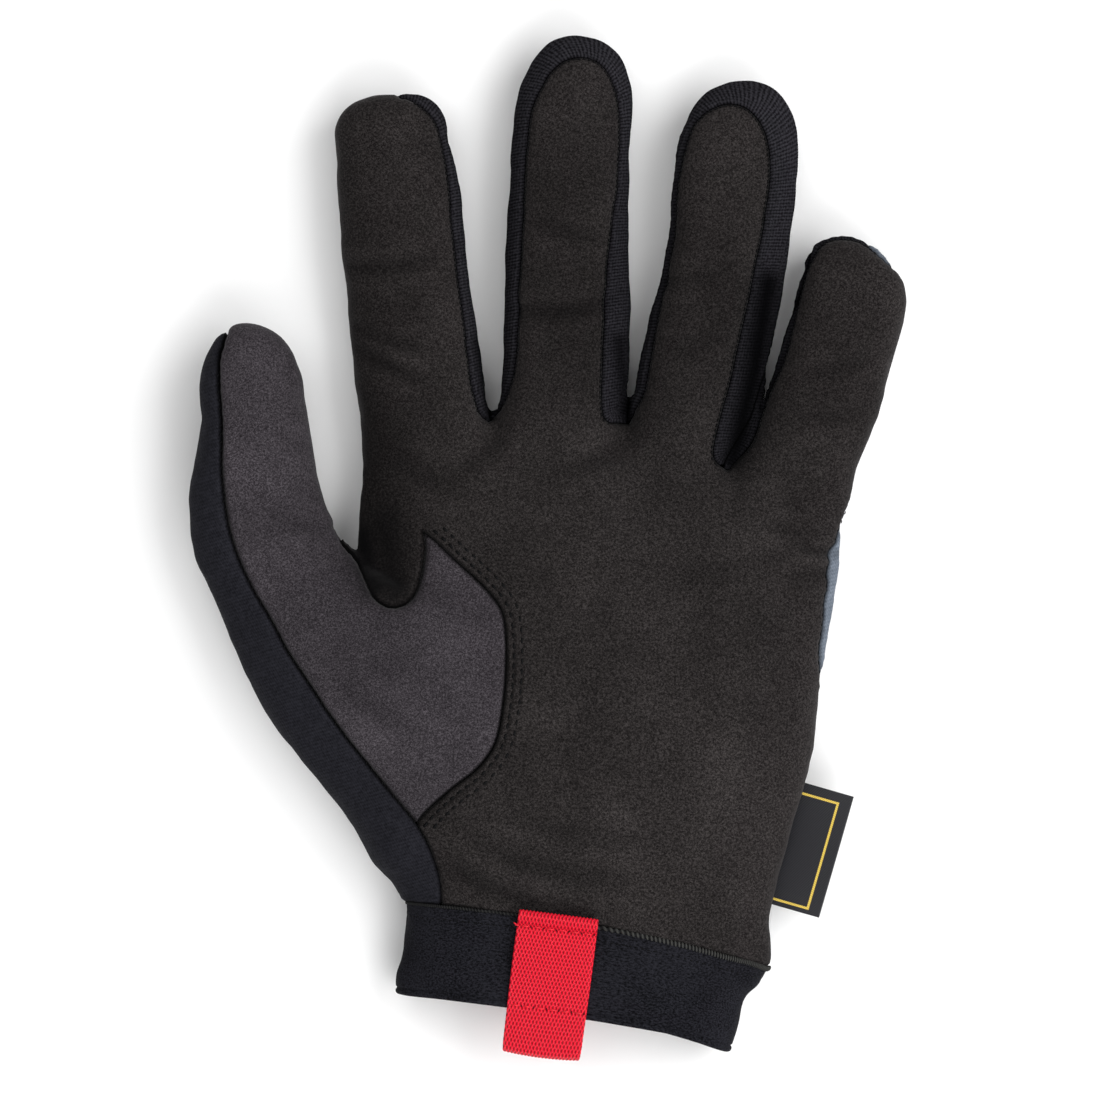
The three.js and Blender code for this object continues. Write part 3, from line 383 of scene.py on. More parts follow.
# ------------------------------------------------------------------ seams as signed distances


def plan_distance(points, outline):
    """Signed distance in plan to a closed outline, less than zero inside, and the length along the
    outline to the nearest point. Inside means that a ray to +X crosses the outline an odd number of times."""
    a = np.asarray(outline, float)
    b = np.roll(a, -1, axis=0)
    step = b - a
    size = np.maximum((step**2).sum(1), 1e-12)
    run = np.concatenate([[0], np.cumsum(np.sqrt(size))[:-1]])
    distance = np.empty(len(points))
    along = np.empty(len(points))
    for first in range(0, len(points), 20000):
        p = points[first:first + 20000, None, :2]
        t = np.clip(((p - a) * step).sum(2) / size, 0, 1)
        gap = np.sqrt(((p - a - t[..., None] * step) ** 2).sum(2))
        best = gap.argmin(1)
        rows = np.arange(len(best))
        distance[first:first + 20000] = gap[rows, best]
        along[first:first + 20000] = run[best] + t[rows, best] * np.sqrt(size[best])
        y = p[..., 1]
        crosses = (a[:, 1] > y) != (b[:, 1] > y)
        reach = a[:, 0] + (y - a[:, 1]) * step[:, 0] / np.where(step[:, 1] == 0, 1e-9, step[:, 1])
        odd = (crosses & (p[..., 0] < reach)).sum(1) % 2 == 1
        distance[first:first + 20000][odd] *= -1
    return distance, along


def line_side(points, line):
    """How far a point lies to +X of a line that runs up the plan, measured square to +Y."""
    return points[:, 0] - np.interp(points[:, 1], line[:, 1], line[:, 0])


SEAM_LEFT, SEAM_RIGHT = np.array([-46.98, -48.76]), np.array([40.83, -64.29])
ALONG_SEAM = (SEAM_RIGHT - SEAM_LEFT) / np.linalg.norm(SEAM_RIGHT - SEAM_LEFT)
WRISTWARD = np.array([ALONG_SEAM[1], -ALONG_SEAM[0]])


def cuff_arch(points):
    """How far the cuff's seam and hem rise towards the fingers: 3 mm in the middle, falling as
    1 - a^2 to the sides."""
    a = np.clip((points[..., 0] + 3.5) / 45, -1, 1)
    return CUFF_ARCH * (1 - a**2)


def palm_outline():
    beyond = digit_points("index", [(0.3, -0.8), (0.8, -1), (1.12, -0.8)])
    return np.vstack([
        through(WRIST)[:-1], through(THENAR)[:-1], through(CROTCH), [(-62.6, 42), (-60.6, 50)], beyond,
        through(digit_points("index", SEAMS["index"]))[::-1],
        digit_points("index", [(0.18, 0.52)]),
        through(digit_points("middle", SEAMS["middle"])),
        digit_points("middle", [(0.17, 0.5)]),
        through(digit_points("ring", SEAMS["ring"])),
        digit_points("ring", [(0.08, 0.27)]),
        through(digit_points("little", SEAMS["little"])),
        digit_points("little", [(0.5, 1.1)]),
        through(OUTER), [(75, -90), (-38.4, -75)]])


def thumb_outline():
    return np.vstack([
        [(-36, -38)], through(digit_points("thumb", SEAMS["thumb"])),
        digit_points("thumb", [(1.12, 0.9), (0.7, 0.55)]),
        [(-61, 41), (-53, 31), (-46.4, 32), (-44, 41.5), (-39.4, 42.5), (-11.6, 11.5)]])


def thumb_back_outline():
    return np.vstack([
        through(THUMB_BACK), [(-38.3, -80), (-90, -80), (-140, 0)],
        digit_points("thumb", [(1.3, -1.5), (1.3, 0.9), (0.75, 0.35)])])


def side_outline():
    return np.vstack([
        through(SIDE), digit_points("little", [(0.5, 0.1), (0.85, 0.12), (1.2, 0.15), (1.2, 1.5)]),
        [(116, -80), (21, -92)]])


# ------------------------------------------------------------------ folds and hollows of the cloth
# Creases as plan lines: start, end, depth and half width.
CREASES = [
    ((-62, 103.0), (-39, 105.5), 1.0, 2.3), ((-60, 89.5), (-43, 84.0), 0.9, 1.9),
    ((-59, 84.5), (-43, 76.5), 1.1, 2.1), ((-17, 114.5), (-1, 110.0), 0.7, 2.3), ((-20, 92.5), (2, 94.8), 1.0, 2.2),
    ((12, 100.0), (27, 101.5), 0.5, 2.4), ((14, 84.0), (26, 86.5), 0.4, 2.6), ((48, 78.0), (66, 82.0), 0.6, 2.2),
    ((46, 67.0), (63, 69.0), 0.5, 2.2),
    ((-38, -39.0), (-14, -49.0), 1.0, 3.0), ((-31, -34.5), (5, -43.5), 0.9, 3.2), ((-26, -27), (14, -34), 0.5, 3.6),
    ((48, 36.5), (59, 35.0), 1.2, 1.6), ((38, 42.5), (55, 38.5), 0.6, 2.4), ((44, 29.5), (57, 31.5), 0.6, 2.0),
    ((18, 30.0), (46, 36.0), 0.45, 3.4), ((-64, 4), (-42, -8), 0.5, 3.4), ((-36, 54), (-24, 62), 0.7, 2.6),
    ((-6, 56), (8, 62), 0.6, 2.6), ((-50, 58), (-34, 50), 0.6, 3.0), ((-76, 62), (-66, 60), 0.5, 2.2),
    ((-78, 44), (-64, 41), 0.6, 2.4),
]
DENTS = [
    # middle of the dent, its depth, its half sizes along and across, and its heading in degrees from +X
    ((-51.0, 30.5), 2.6, 8.0, 4.2, 118.0),
    ((-50.0, 47.0), 1.4, 12.0, 6.0, 100.0),
    ((34.0, 66.0), 3.0, 15.0, 2.8, 79.0),
    ((38.0, 88.0), 2.0, 14.0, 2.6, 83.0),
    ((-26.4, 68.0), 2.2, 7.0, 2.6, 95.0),
    ((6.0, 69.0), 2.2, 7.0, 2.6, 95.0),
]
# Parts made paler by rubbing and painted light, or darker by painted shade: middle, half sizes, and the share added to
# the tone.
WEAR_AND_PAINTED_LIGHT_PATCHES = [
    ((21, -11), (26, 26), 0.22), ((-54, 92), (15, 44), -0.36), ((-55, 44), (11, 30), -0.4), ((-5, 96), (16, 34), -0.3),
    ((31, 86), (18, 32), -0.31), ((58, 76), (16, 28), -0.14), ((-31, -38), (17, 12), -0.2), ((-46, -17), (13, 13), -0.17),
    ((-52, 142), (14, 9), 0.12), ((-3, 152), (14, 9), 0.12), ((37, 140), (14, 9), 0.18), ((10, 20), (40, 30), -0.06),
]
# Deep parts painted with shade: a plan line, its half width and how dark the painted shade gets.
PAINTED_SHADE_LINES = [
    ([(40.4, 100), (38.6, 89), (36.6, 77), (34.6, 69), (32.8, 61), (31.6, 57.5)], 3.2, 0.95),
    ([(4.6, 86), (5.6, 74), (6.0, 68.0)], 1.9, 0.7), ([(-28.6, 86), (-27.0, 74), (-26.3, 68.5)], 1.9, 0.7),
    ([(-57.0, 39.5), (-55.8, 32.5), (-53.6, 27.5)], 3.6, 0.93), ([(-51.6, 42), (-50.6, 32), (-49.8, 26)], 4.6, 0.6), ([(-56, 31.0), (-48.5, 27.5)], 3.0, 0.88),
]


def cloth_noise(points, wavelength, seed, waves=9):
    """Smooth unevenness between about -1 and 1: the sum of sines of a few seeded directions and
    phases, with wavelengths within a fifth of the one given."""
    rng = np.random.default_rng(seed)
    heading = rng.normal(size=(waves, 3))
    heading /= np.linalg.norm(heading, axis=1)[:, None]
    number = 2 * np.pi / (wavelength * rng.uniform(0.8, 1.25, waves))
    phase = rng.uniform(0, 2 * np.pi, waves)
    return np.sin(points @ (heading * number[:, None]).T + phase).sum(1) / math.sqrt(waves)


def crease_line(points, start, end):
    """Distance from a crease's line, which bows a little, and a fade that falls to 0 past its ends."""
    a, b = np.array(start), np.array(end)
    length = np.linalg.norm(b - a)
    along = (b - a) / length
    offset = points[:, :2] - (a + b) / 2
    t = offset @ along / (length / 2)
    s = offset @ np.array([-along[1], along[0]]) - 0.06 * length * (t**2 - 0.4)
    return s, np.exp(-np.abs(t * 0.95) ** 4)


def relief(points, normals):
    """Shift of every point by the folds and hollows. Along the normal: for each crease
    -depth * exp(-(s / w)^2) with ridges beside it, s being the distance to its line, and the cloth's
    unevenness. Straight down: for each dent a bell of that depth, so that plan outlines stay."""
    lift = np.zeros(len(points))
    drop = np.zeros(len(points))
    up = np.clip(normals[:, 2] * 1.6, 0, 1)
    facing = np.clip((normals[:, 2] - 0.35) * 2.5, 0, 1) * np.clip((points[:, 2] - 4) / 6, 0, 1)
    for start, end, depth, width in CREASES:
        s, fade = crease_line(points, start, end)
        shape = -np.exp(-((s / width) ** 2)) + 0.55 * np.exp(-(((np.abs(s) - 1.7 * width) / (1.1 * width)) ** 2))
        lift += depth * shape * fade * up
    for middle, depth, long_half, short_half, heading in DENTS:
        turn = math.radians(heading)
        offset = points[:, :2] - np.array(middle)
        t = (offset @ np.array([math.cos(turn), math.sin(turn)])) / long_half
        s = (offset @ np.array([-math.sin(turn), math.cos(turn)])) / short_half
        drop += depth * np.exp(-(t**2 + s**2)) * facing
    uneven = 0.3 * cloth_noise(points, 26, 3) + 0.14 * cloth_noise(points, 11, 5) + 0.05 * cloth_noise(points, 5, 8)
    free = np.clip(points[:, 2] / 3, 0, 1)
    shift = normals * (lift + uneven * free)[:, None]
    shift[:, 2] -= drop
    return shift


def tones(points):
    """Two values for the cloth's colour: the share of wear and painted light, 1 plus a bell for each rubbed or painted
    part and a painted highlight on each crease's ridges, and the painted shade, the greatest of the bells across the
    hollows and creases."""
    plan = points[:, :2]
    wear_and_painted_light = np.ones(len(points))
    for middle, half, amount in WEAR_AND_PAINTED_LIGHT_PATCHES:
        wear_and_painted_light += amount * np.exp(-(((plan - np.array(middle)) / np.array(half)) ** 2).sum(1))
    shade = np.zeros(len(points))
    for line, half, amount in PAINTED_SHADE_LINES:
        distance, _ = line_distance(points, np.array(line, float))
        shade = np.maximum(shade, amount * np.exp(-((distance / half) ** 2)))
    # Each crease gets a line of painted shade along it and a painted highlight on its ridges.
    for start, end, depth, width in CREASES:
        s, fade = crease_line(points, start, end)
        shade = np.maximum(shade, 0.34 * depth * np.exp(-((s / (0.75 * width)) ** 2)) * fade)
        wear_and_painted_light += 0.16 * depth * np.exp(-(((np.abs(s) - 1.7 * width) / width) ** 2)) * fade
    return wear_and_painted_light, shade * np.clip((points[:, 2] - 1.8) / 1.6, 0, 1)


# ------------------------------------------------------------------ cutting the skin into panels


def split(points, faces, data, level):
    """Cuts every triangle that the line level = 0 crosses. Each crossed edge gets one point where
    the level is zero by straight interpolation, and the triangle becomes three."""
    level = np.where(np.abs(level) < 1e-5, 1e-5, level)
    positive = level > 0
    count = positive[faces].sum(1)
    mixed = (count == 1) | (count == 2)
    if not mixed.any():
        return points, faces, data, level
    t = faces[mixed]
    lone_sign = count[mixed] == 1
    lone = (positive[t] == lone_sign[:, None]).argmax(1)
    rows = np.arange(len(t))
    s, b, c = t[rows, lone], t[rows, (lone + 1) % 3], t[rows, (lone + 2) % 3]
    ends = np.sort(np.vstack([np.stack([s, b], 1), np.stack([s, c], 1)]), axis=1)
    unique, index = np.unique(ends, axis=0, return_inverse=True)
    index = index.reshape(-1) + len(points)
    share = (level[unique[:, 0]] / (level[unique[:, 0]] - level[unique[:, 1]]))[:, None]

    def blend(values):
        if values.ndim == 1:
            new = values[unique[:, 0]] + (values[unique[:, 1]] - values[unique[:, 0]]) * share[:, 0]
            return np.concatenate([values, new])
        return np.vstack([values, values[unique[:, 0]] + (values[unique[:, 1]] - values[unique[:, 0]]) * share])

    e1, e2 = index[:len(t)], index[len(t):]
    pieces = [faces[~mixed], np.stack([s, e1, e2], 1), np.stack([e1, b, c], 1), np.stack([e1, c, e2], 1)]
    level = np.concatenate([level, np.zeros(len(unique))])
    return blend(points), np.vstack(pieces), {k: blend(v) for k, v in data.items()}, level


def line_distance(points, line):
    """Distance in plan to an open line, and the share of its length at the nearest point."""
    a, b = line[:-1], line[1:]
    step = b - a
    size = (step**2).sum(1)
    run = np.concatenate([[0], np.cumsum(np.sqrt(size))])
    t = np.clip(((points[:, None, :2] - a) * step).sum(2) / size, 0, 1)
    gap = np.sqrt(((points[:, None, :2] - a - t[..., None] * step) ** 2).sum(2))
    best = gap.argmin(1)
    rows = np.arange(len(best))
    return gap[rows, best], (run[best] + t[rows, best] * np.sqrt(size[best])) / run[-1]


STITCH_ROWS = (1.7, 3.65)  # distances of the thumb seam's two rows from the folded edge
THENAR_LEVELS = (1.3, 1.7, 2.1, 2.7, 3.25, 3.65, 4.05, 4.6)  # extra rows of points beside that seam


def from_thenar(points):
    """Distance in plan to the thumb seam, and the share of its length there; far points get 99 and 0."""
    distance, share = np.full(len(points), 99.0), np.zeros(len(points))
    near = np.flatnonzero((points[:, 0] < -8) & (points[:, 1] < 46) & (points[:, 1] > -36))
    distance[near], share[near] = line_distance(points[near], through(THENAR))
    return distance, share


def folded_edge(points, inset):
    """Lift of the palm's edge over the thumb panel: 0.5 mm of folded cloth as far as the outer
    stitch row, less a trough of 0.4 mm along either row."""
    distance, share = from_thenar(points)
    fade = np.clip(share / 0.12, 0, 1) * np.clip((1 - share) / 0.12, 0, 1)
    rise = 0.5 * np.clip((5.0 - distance) / 1.1, 0, 1)
    for row in STITCH_ROWS:
        rise = rise - 0.42 * np.exp(-(((distance - row) / 0.42) ** 2))
    return np.where(np.abs(distance - inset) < 0.4, rise * fade, 0)


def cut_panel(points, faces, data, key, levels):
    """One panel: the part of the skin where its own field is below minus the seam gap, with rows of
    points kept along its edge so that the seam can roll."""
    for level in (-GAP, *levels):
        points, faces, data, value = split(points, faces, data, data[key] - level)
        if level == -GAP:
            low = np.where(value == 0, -1.0, value)
            keep = (low[faces] < 0).all(1)
            faces = faces[keep]
            used = np.unique(faces)
            renumber = np.full(len(points), -1)
            renumber[used] = np.arange(len(used))
            points, faces = points[used], renumber[faces]
            data = {k: v[used] for k, v in data.items()}
    return points, faces, data


def open_edges(faces):
    """Edges that only one triangle uses, in that triangle's own direction."""
    edges = np.vstack([faces[:, [0, 1]], faces[:, [1, 2]], faces[:, [2, 0]]])
    key = np.sort(edges, axis=1)
    _, first, count = np.unique(key, axis=0, return_index=True, return_counts=True)
    return edges[first[count == 1]]


def walled(points, faces, normals, thickness):
    """Closed solid of a cut surface: the surface, its copy moved in along the normals by the
    thickness, turned over, and a strip of faces round every open edge."""
    rim = open_edges(faces)
    n = len(points)
    inner = points - normals * np.asarray(thickness).reshape(-1, 1)
    strip = np.vstack([np.stack([rim[:, 1], rim[:, 0], rim[:, 0] + n], 1),
                       np.stack([rim[:, 1], rim[:, 0] + n, rim[:, 1] + n], 1)])
    return np.vstack([points, inner]), np.vstack([faces, faces[:, ::-1] + n, strip])


def mesh_object(name, points, faces, material, uv=None, values=None):
    """Blender object at the origin from points in millimetres and faces of three or four corners."""
    mesh = bpy.data.meshes.new(name)
    faces = np.asarray(faces)
    mesh.from_pydata((np.asarray(points) * MM).tolist(), [], faces.tolist())
    mesh.polygons.foreach_set("use_smooth", np.ones(len(mesh.polygons), bool))
    if uv is not None:
        layer = mesh.uv_layers.new(name="cloth")
        corner = np.empty(len(mesh.loops), dtype=np.int32)
        mesh.loops.foreach_get("vertex_index", corner)
        layer.data.foreach_set("uv", np.asarray(uv)[corner].astype(np.float32).ravel())
    for key, value in (values or {}).items():
        attribute = mesh.attributes.new(key, "FLOAT", "POINT")
        attribute.data.foreach_set("value", np.asarray(value, np.float32))
    mesh.materials.append(material)
    mesh.validate()
    mesh.update()
    obj = bpy.data.objects.new(name, mesh)
    bpy.context.scene.collection.objects.link(obj)
    return obj


# ------------------------------------------------------------------ materials


class Nodes:
    """Short way to lay out a material's nodes."""

    def __init__(self, name):
        self.material = bpy.data.materials.new(name)
        self.material.use_nodes = True
        self.tree = self.material.node_tree
        self.tree.nodes.clear()
        self.shader = self.tree.nodes.new("ShaderNodeBsdfPrincipled")
        out = self.tree.nodes.new("ShaderNodeOutputMaterial")
        self.link(self.shader.outputs[0], out.inputs["Surface"])
        self.place = self.tree.nodes.new("ShaderNodeTexCoord").outputs["Object"]

    def link(self, source, target):
        self.tree.links.new(source, target)

    def feed(self, node, **inputs):
        for key, value in inputs.items():
            socket = node.inputs[key.replace("_", " ")]
            if hasattr(value, "is_output"):
                self.link(value, socket)
            else:
                socket.default_value = value
        return node

    def noise(self, scale, detail=2.0, rough=0.5, vector=None, distortion=0.0):
        node = self.tree.nodes.new("ShaderNodeTexNoise")
        self.feed(node, Vector=self.place if vector is None else vector, Scale=scale, Detail=detail,
                  Roughness=rough, Distortion=distortion)
        return node.outputs["Fac"]

    def finish(self, specular, sheen=0.0, soft=0.5):
        """Sets the gloss and the sheen, and hands over the finished material."""
        self.shader.inputs["Specular IOR Level"].default_value = specular
        self.shader.inputs["Sheen Weight"].default_value = sheen
        self.shader.inputs["Sheen Roughness"].default_value = soft
        return self.material

    def math(self, operation, a, b=0.0):
        node = self.tree.nodes.new("ShaderNodeMath")
        node.operation = operation
        for socket, value in zip(node.inputs, (a, b)):
            if hasattr(value, "is_output"):
                self.link(value, socket)
            else:
                socket.default_value = value
        return node.outputs[0]

    def ramp(self, fac, stops):
        node = self.tree.nodes.new("ShaderNodeValToRGB")
        while len(node.color_ramp.elements) < len(stops):
            node.color_ramp.elements.new(0.5)
        for element, (at, colour) in zip(node.color_ramp.elements, stops):
            element.position = at
            element.color = (*colour, 1)
        self.link(fac, node.inputs["Fac"])
        return node.outputs["Color"]

    def mix(self, fac, a, b, kind="MIX"):
        node = self.tree.nodes.new("ShaderNodeMix")
        node.data_type = "RGBA"
        node.blend_type = kind
        for socket, value in ((node.inputs["Factor"], fac), (node.inputs["A"], a), (node.inputs["B"], b)):
            sockets = [s for s in node.inputs if s.name == socket.name and s.type in ("RGBA", "VALUE")]
            target = sockets[-1] if socket.name != "Factor" else node.inputs[0]
            if hasattr(value, "is_output"):
                self.link(value, target)
            elif isinstance(value, tuple):
                target.default_value = (*value, 1)
            else:
                target.default_value = value
        return next(s for s in node.outputs if s.type == "RGBA")

    def bump(self, height, strength, distance, normal=None):
        node = self.tree.nodes.new("ShaderNodeBump")
        self.feed(node, Height=height, Strength=strength, Distance=distance)
        if normal is not None:
            self.link(normal, node.inputs["Normal"])
        return node.outputs["Normal"]

    def attribute(self, name):
        node = self.tree.nodes.new("ShaderNodeAttribute")
        node.attribute_name = name
        return node.outputs["Fac"]

    def with_wear_and_painted_light(self, colour, reach=0.7):
        """The cloth's colour times its share of wear and painted light, darker within the reach in millimetres of the
        seams with painted shade and soil, and mixed towards black by the painted shade of the hollows."""
        # Wear with painted light and painted shade scales the colour.
        colour = self.mix(1.0, colour, self.attribute("wear_and_painted_light"), "MULTIPLY")
        # Painted shade and soil in the seams: darker near the panel's edge.
        edge = self.ramp(self.math("MULTIPLY", self.attribute("inset"), 1000), [(0.05, (0.1, 0.1, 0.1)), (reach, (1, 1, 1))])
        colour = self.mix(1.0, colour, edge, "MULTIPLY")
        # Painted shade: the hollow value mixes the colour towards near black in the hollows and creases.
        return self.mix(self.attribute("hollow"), colour, (0.0012, 0.0012, 0.0014))

    def combine(self, x, y):
        node = self.tree.nodes.new("ShaderNodeCombineXYZ")
        self.feed(node, X=x, Y=y)
        return node.outputs[0]

    def uv(self):
        node = self.tree.nodes.new("ShaderNodeUVMap")
        node.uv_map = "cloth"
        split_node = self.tree.nodes.new("ShaderNodeSeparateXYZ")
        self.link(node.outputs["UV"], split_node.inputs[0])
        return node.outputs["UV"], split_node.outputs["X"], split_node.outputs["Y"]


def suede(name, dark, mid, light, grain=1.0, sheen=0.25):
    """Brushed synthetic suede: a fine nap in three tones, broad rubbed patches, and sparse pale fibres."""
    n = Nodes(name)
    nap = n.noise(1950 * grain, 3.0, 0.66)
    fleck = n.noise(4800, 1.0, 0.5)
    broad = n.noise(60, 4.0, 0.6)
    tone = n.math("ADD", n.math("MULTIPLY", nap, 0.62), n.math("MULTIPLY", fleck, 0.38))
    colour = n.ramp(tone, [(0.39, dark), (0.5, mid), (0.615, light)])
    rubbed = n.math("MULTIPLY", n.ramp(broad, [(0.38, (0, 0, 0)), (0.66, (1, 1, 1))]), 0.26)
    soil = n.math("MULTIPLY", n.ramp(n.noise(28, 2.0, 0.5), [(0.36, (1, 1, 1)), (0.58, (0, 0, 0))]), 0.22)
    colour = n.mix(1.0, colour, n.math("SUBTRACT", n.math("ADD", rubbed, 0.98), soil), "MULTIPLY")
    fibre = n.ramp(n.noise(1050, 0.0, 0.5), [(0.8, (0, 0, 0)), (0.83, (1, 1, 1))])
    colour = n.mix(n.math("MULTIPLY", fibre, 0.3), colour, tuple(min(1, 3.0 * c + 0.01) for c in mid))
    normal = n.bump(tone, 0.5, 0.00014)
    normal = n.bump(n.noise(520, 2.0, 0.5), 0.22, 0.0003, normal)
    n.feed(n.shader, Base_Color=n.with_wear_and_painted_light(colour), Roughness=0.95, Normal=normal)
    n.shader.inputs["Sheen Tint"].default_value = (0.9, 0.88, 0.9, 1)
    return n.finish(0.04, sheen, 0.45)


def ribbed_knit(name, dark, light, pitch=0.00078, slant=0.25, sheen=0.003):
    """Fine rib knit: ribs across the seam's own length, each rib broken into its stitches."""
    n = Nodes(name)
    _, u, v = n.uv()
    wave = n.math("SINE", n.math("MULTIPLY", n.math("ADD", u, n.math("MULTIPLY", v, slant)), 2 * math.pi / pitch))
    loops = n.math("SINE", n.math("MULTIPLY", v, 2 * math.pi / (pitch * 0.8)))
    height = n.math("ADD", n.math("MULTIPLY", wave, 0.5), n.math("MULTIPLY", loops, 0.22))
    fuzz = n.noise(1900, 2.0, 0.6)
    tone = n.math("ADD", n.math("MULTIPLY", n.math("ADD", height, 0.8), 0.2), n.math("MULTIPLY", fuzz, 0.7))
    colour = n.ramp(tone, [(0.38, dark), (0.68, light)])
    normal = n.bump(height, 0.4, 0.00014)
    normal = n.bump(fuzz, 0.3, 0.0001, normal)
    n.feed(n.shader, Base_Color=n.with_wear_and_painted_light(colour, 0.42), Roughness=0.95, Normal=normal)
    return n.finish(0.0, sheen, 0.4)


def plain_knit(name, dark, light, pitch=0.0006, sheen=0.02, turn=0.6):
    """Smooth stretch knit: a fine slanting twill of crossed sines, and a little fuzz."""
    n = Nodes(name)
    split_node = n.tree.nodes.new("ShaderNodeSeparateXYZ")
    n.link(n.place, split_node.inputs[0])
    x, y = split_node.outputs["X"], split_node.outputs["Y"]
    k = 2 * math.pi / pitch
    one = n.math("SINE", n.math("MULTIPLY", n.math("ADD", x, n.math("MULTIPLY", y, turn)), k))
    two = n.math("SINE", n.math("MULTIPLY", n.math("SUBTRACT", y, n.math("MULTIPLY", x, turn * 0.5)), k * 0.7))
    height = n.math("MULTIPLY", n.math("ADD", one, two), 0.5)
    fuzz = n.noise(1500, 3.0, 0.65)
    cell = n.noise(520, 2.0, 0.6)
    tone = n.math("ADD", n.math("MULTIPLY", n.math("ADD", height, 1.0), 0.09), n.math("MULTIPLY", fuzz, 0.55))
    tone = n.math("ADD", tone, n.math("MULTIPLY", cell, 0.25))
    colour = n.ramp(tone, [(0.34, dark), (0.66, light)])
    normal = n.bump(height, 0.25, 0.00008)
    normal = n.bump(n.math("ADD", fuzz, cell), 0.45, 0.00022, normal)
    n.feed(n.shader, Base_Color=n.with_wear_and_painted_light(colour), Roughness=0.95, Normal=normal)
    return n.finish(0.04, sheen, 0.4)


def elastic(name, dark, light):
    """Dense elastic: a speckle of short flat loops along the band, drawn on its own map, with a finer
    speckle over it."""
    n = Nodes(name)
    _, u, v = n.uv()
    loops = n.noise(1500, 2.0, 0.6, n.combine(u, n.math("MULTIPLY", v, 1.7)), 0.15)
    fuzz = n.noise(2600, 3.0, 0.65)
    broad = n.noise(90, 3.0, 0.55)
    tone = n.math("ADD", n.math("MULTIPLY", loops, 0.6), n.math("MULTIPLY", fuzz, 0.4))
    tone = n.math("ADD", tone, n.math("MULTIPLY", n.math("SUBTRACT", broad, 0.5), 0.16))
    colour = n.ramp(tone, [(0.405, dark), (0.595, light)])
    normal = n.bump(loops, 0.6, 0.0002)
    normal = n.bump(fuzz, 0.35, 0.0001, normal)
    n.feed(n.shader, Base_Color=colour, Roughness=0.95, Normal=normal)
    return n.finish(0.04, 0.015, 0.4)


def cord(name, dark, light):
    """Overlock thread: pale on the raised turns and dark between them, by the stored ridge value."""
    n = Nodes(name)
    tone = n.math("ADD", n.math("MULTIPLY", n.attribute("ridge"), 0.8), n.math("MULTIPLY", n.noise(2600, 2.0, 0.6), 0.25))
    n.feed(n.shader, Base_Color=n.ramp(tone, [(0.25, dark), (0.95, light)]), Roughness=0.7)
    return n.finish(0.15)


def thread(name, colour, shine=0.35):
    """Twisted sewing thread: fine noise in tone, and a soft gloss."""
    n = Nodes(name)
    tone = n.noise(2400, 2.0, 0.5)
    n.feed(n.shader, Base_Color=n.ramp(tone, [(0.3, tuple(0.6 * c for c in colour)), (0.7, tuple(1.4 * c for c in colour))]),
           Roughness=0.6, Normal=n.bump(tone, 0.3, 0.0001))
    return n.finish(shine)


def webbing(name, dark, light):
    """Woven webbing on its own map: floats that stand up where cos(pi v / weft) * cos(2 pi u / warp)
    is greatest, so they step by half from row to row."""
    n = Nodes(name)
    _, u, v = n.uv()
    rows = n.math("COSINE", n.math("MULTIPLY", v, math.pi / (WEFT * MM)))
    yarns = n.math("COSINE", n.math("MULTIPLY", u, 2 * math.pi / (WARP * MM)))
    height = n.math("MULTIPLY", n.math("ADD", n.math("MULTIPLY", rows, yarns), 1.0), 0.5)
    fine = n.noise(3000, 2.0, 0.6)
    # The colour follows the floats' height: painted shade between the floats, paler on their tops.
    tone = n.math("ADD", n.math("MULTIPLY", height, 0.8), n.math("MULTIPLY", fine, 0.3))
    colour = n.ramp(tone, [(0.1, dark), (0.85, light)])
    normal = n.bump(height, 0.8, 0.0003)
    normal = n.bump(fine, 0.2, 0.0001, normal)
    n.feed(n.shader, Base_Color=colour, Roughness=0.42, Normal=normal)
    return n.finish(0.24, 0.015)


# The label's thread border on its map, in metres: the rectangle's middle, its half sides and half its line
BORDER_MIDDLE = (0.0051, 0.0157)
BORDER_HALF = (0.0048, 0.0131)
BORDER_LINE = 0.00028


def satin_label(name):
    """Woven satin tape: fine slanting floats in black, and a plain yellow thread border drawn on its
    own map as a rectangle's outline."""
    n = Nodes(name)
    _, u, v = n.uv()
    floats = n.math("SINE", n.math("MULTIPLY", n.math("ADD", u, n.math("MULTIPLY", v, 0.6)), 2 * math.pi / 0.00055))
    fine = n.noise(2600, 2.0, 0.6)
    ground = n.ramp(n.math("ADD", n.math("MULTIPLY", n.math("ADD", floats, 1.0), 0.3), n.math("MULTIPLY", fine, 0.4)),
                    [(0.25, (0.0025, 0.0025, 0.0035)), (0.85, (0.0125, 0.0125, 0.017))])
    thread_wave = n.math("SINE", n.math("MULTIPLY", n.math("ADD", u, v), 2 * math.pi / 0.0005))
    yellow = n.ramp(n.math("ADD", n.math("MULTIPLY", n.math("ADD", thread_wave, 1.0), 0.35), n.math("MULTIPLY", fine, 0.3)),
                    [(0.2, (0.34, 0.22, 0.025)), (0.8, (0.72, 0.54, 0.1))])
    (middle_u, middle_v), (half_u, half_v) = BORDER_MIDDLE, BORDER_HALF
    from_side = n.math("SUBTRACT", n.math("ABSOLUTE", n.math("SUBTRACT", u, middle_u)), half_u)
    from_end = n.math("SUBTRACT", n.math("ABSOLUTE", n.math("SUBTRACT", v, middle_v)), half_v)
    border_distance = n.math("ABSOLUTE", n.math("MAXIMUM", from_side, from_end))
    line = n.math("LESS_THAN", border_distance, BORDER_LINE)
    n.feed(n.shader, Base_Color=n.mix(line, ground, yellow), Roughness=0.42,
           Normal=n.bump(n.math("ADD", n.math("MULTIPLY", floats, 0.3), line), 0.4, 0.00012))
    return n.finish(0.22, 0.03)


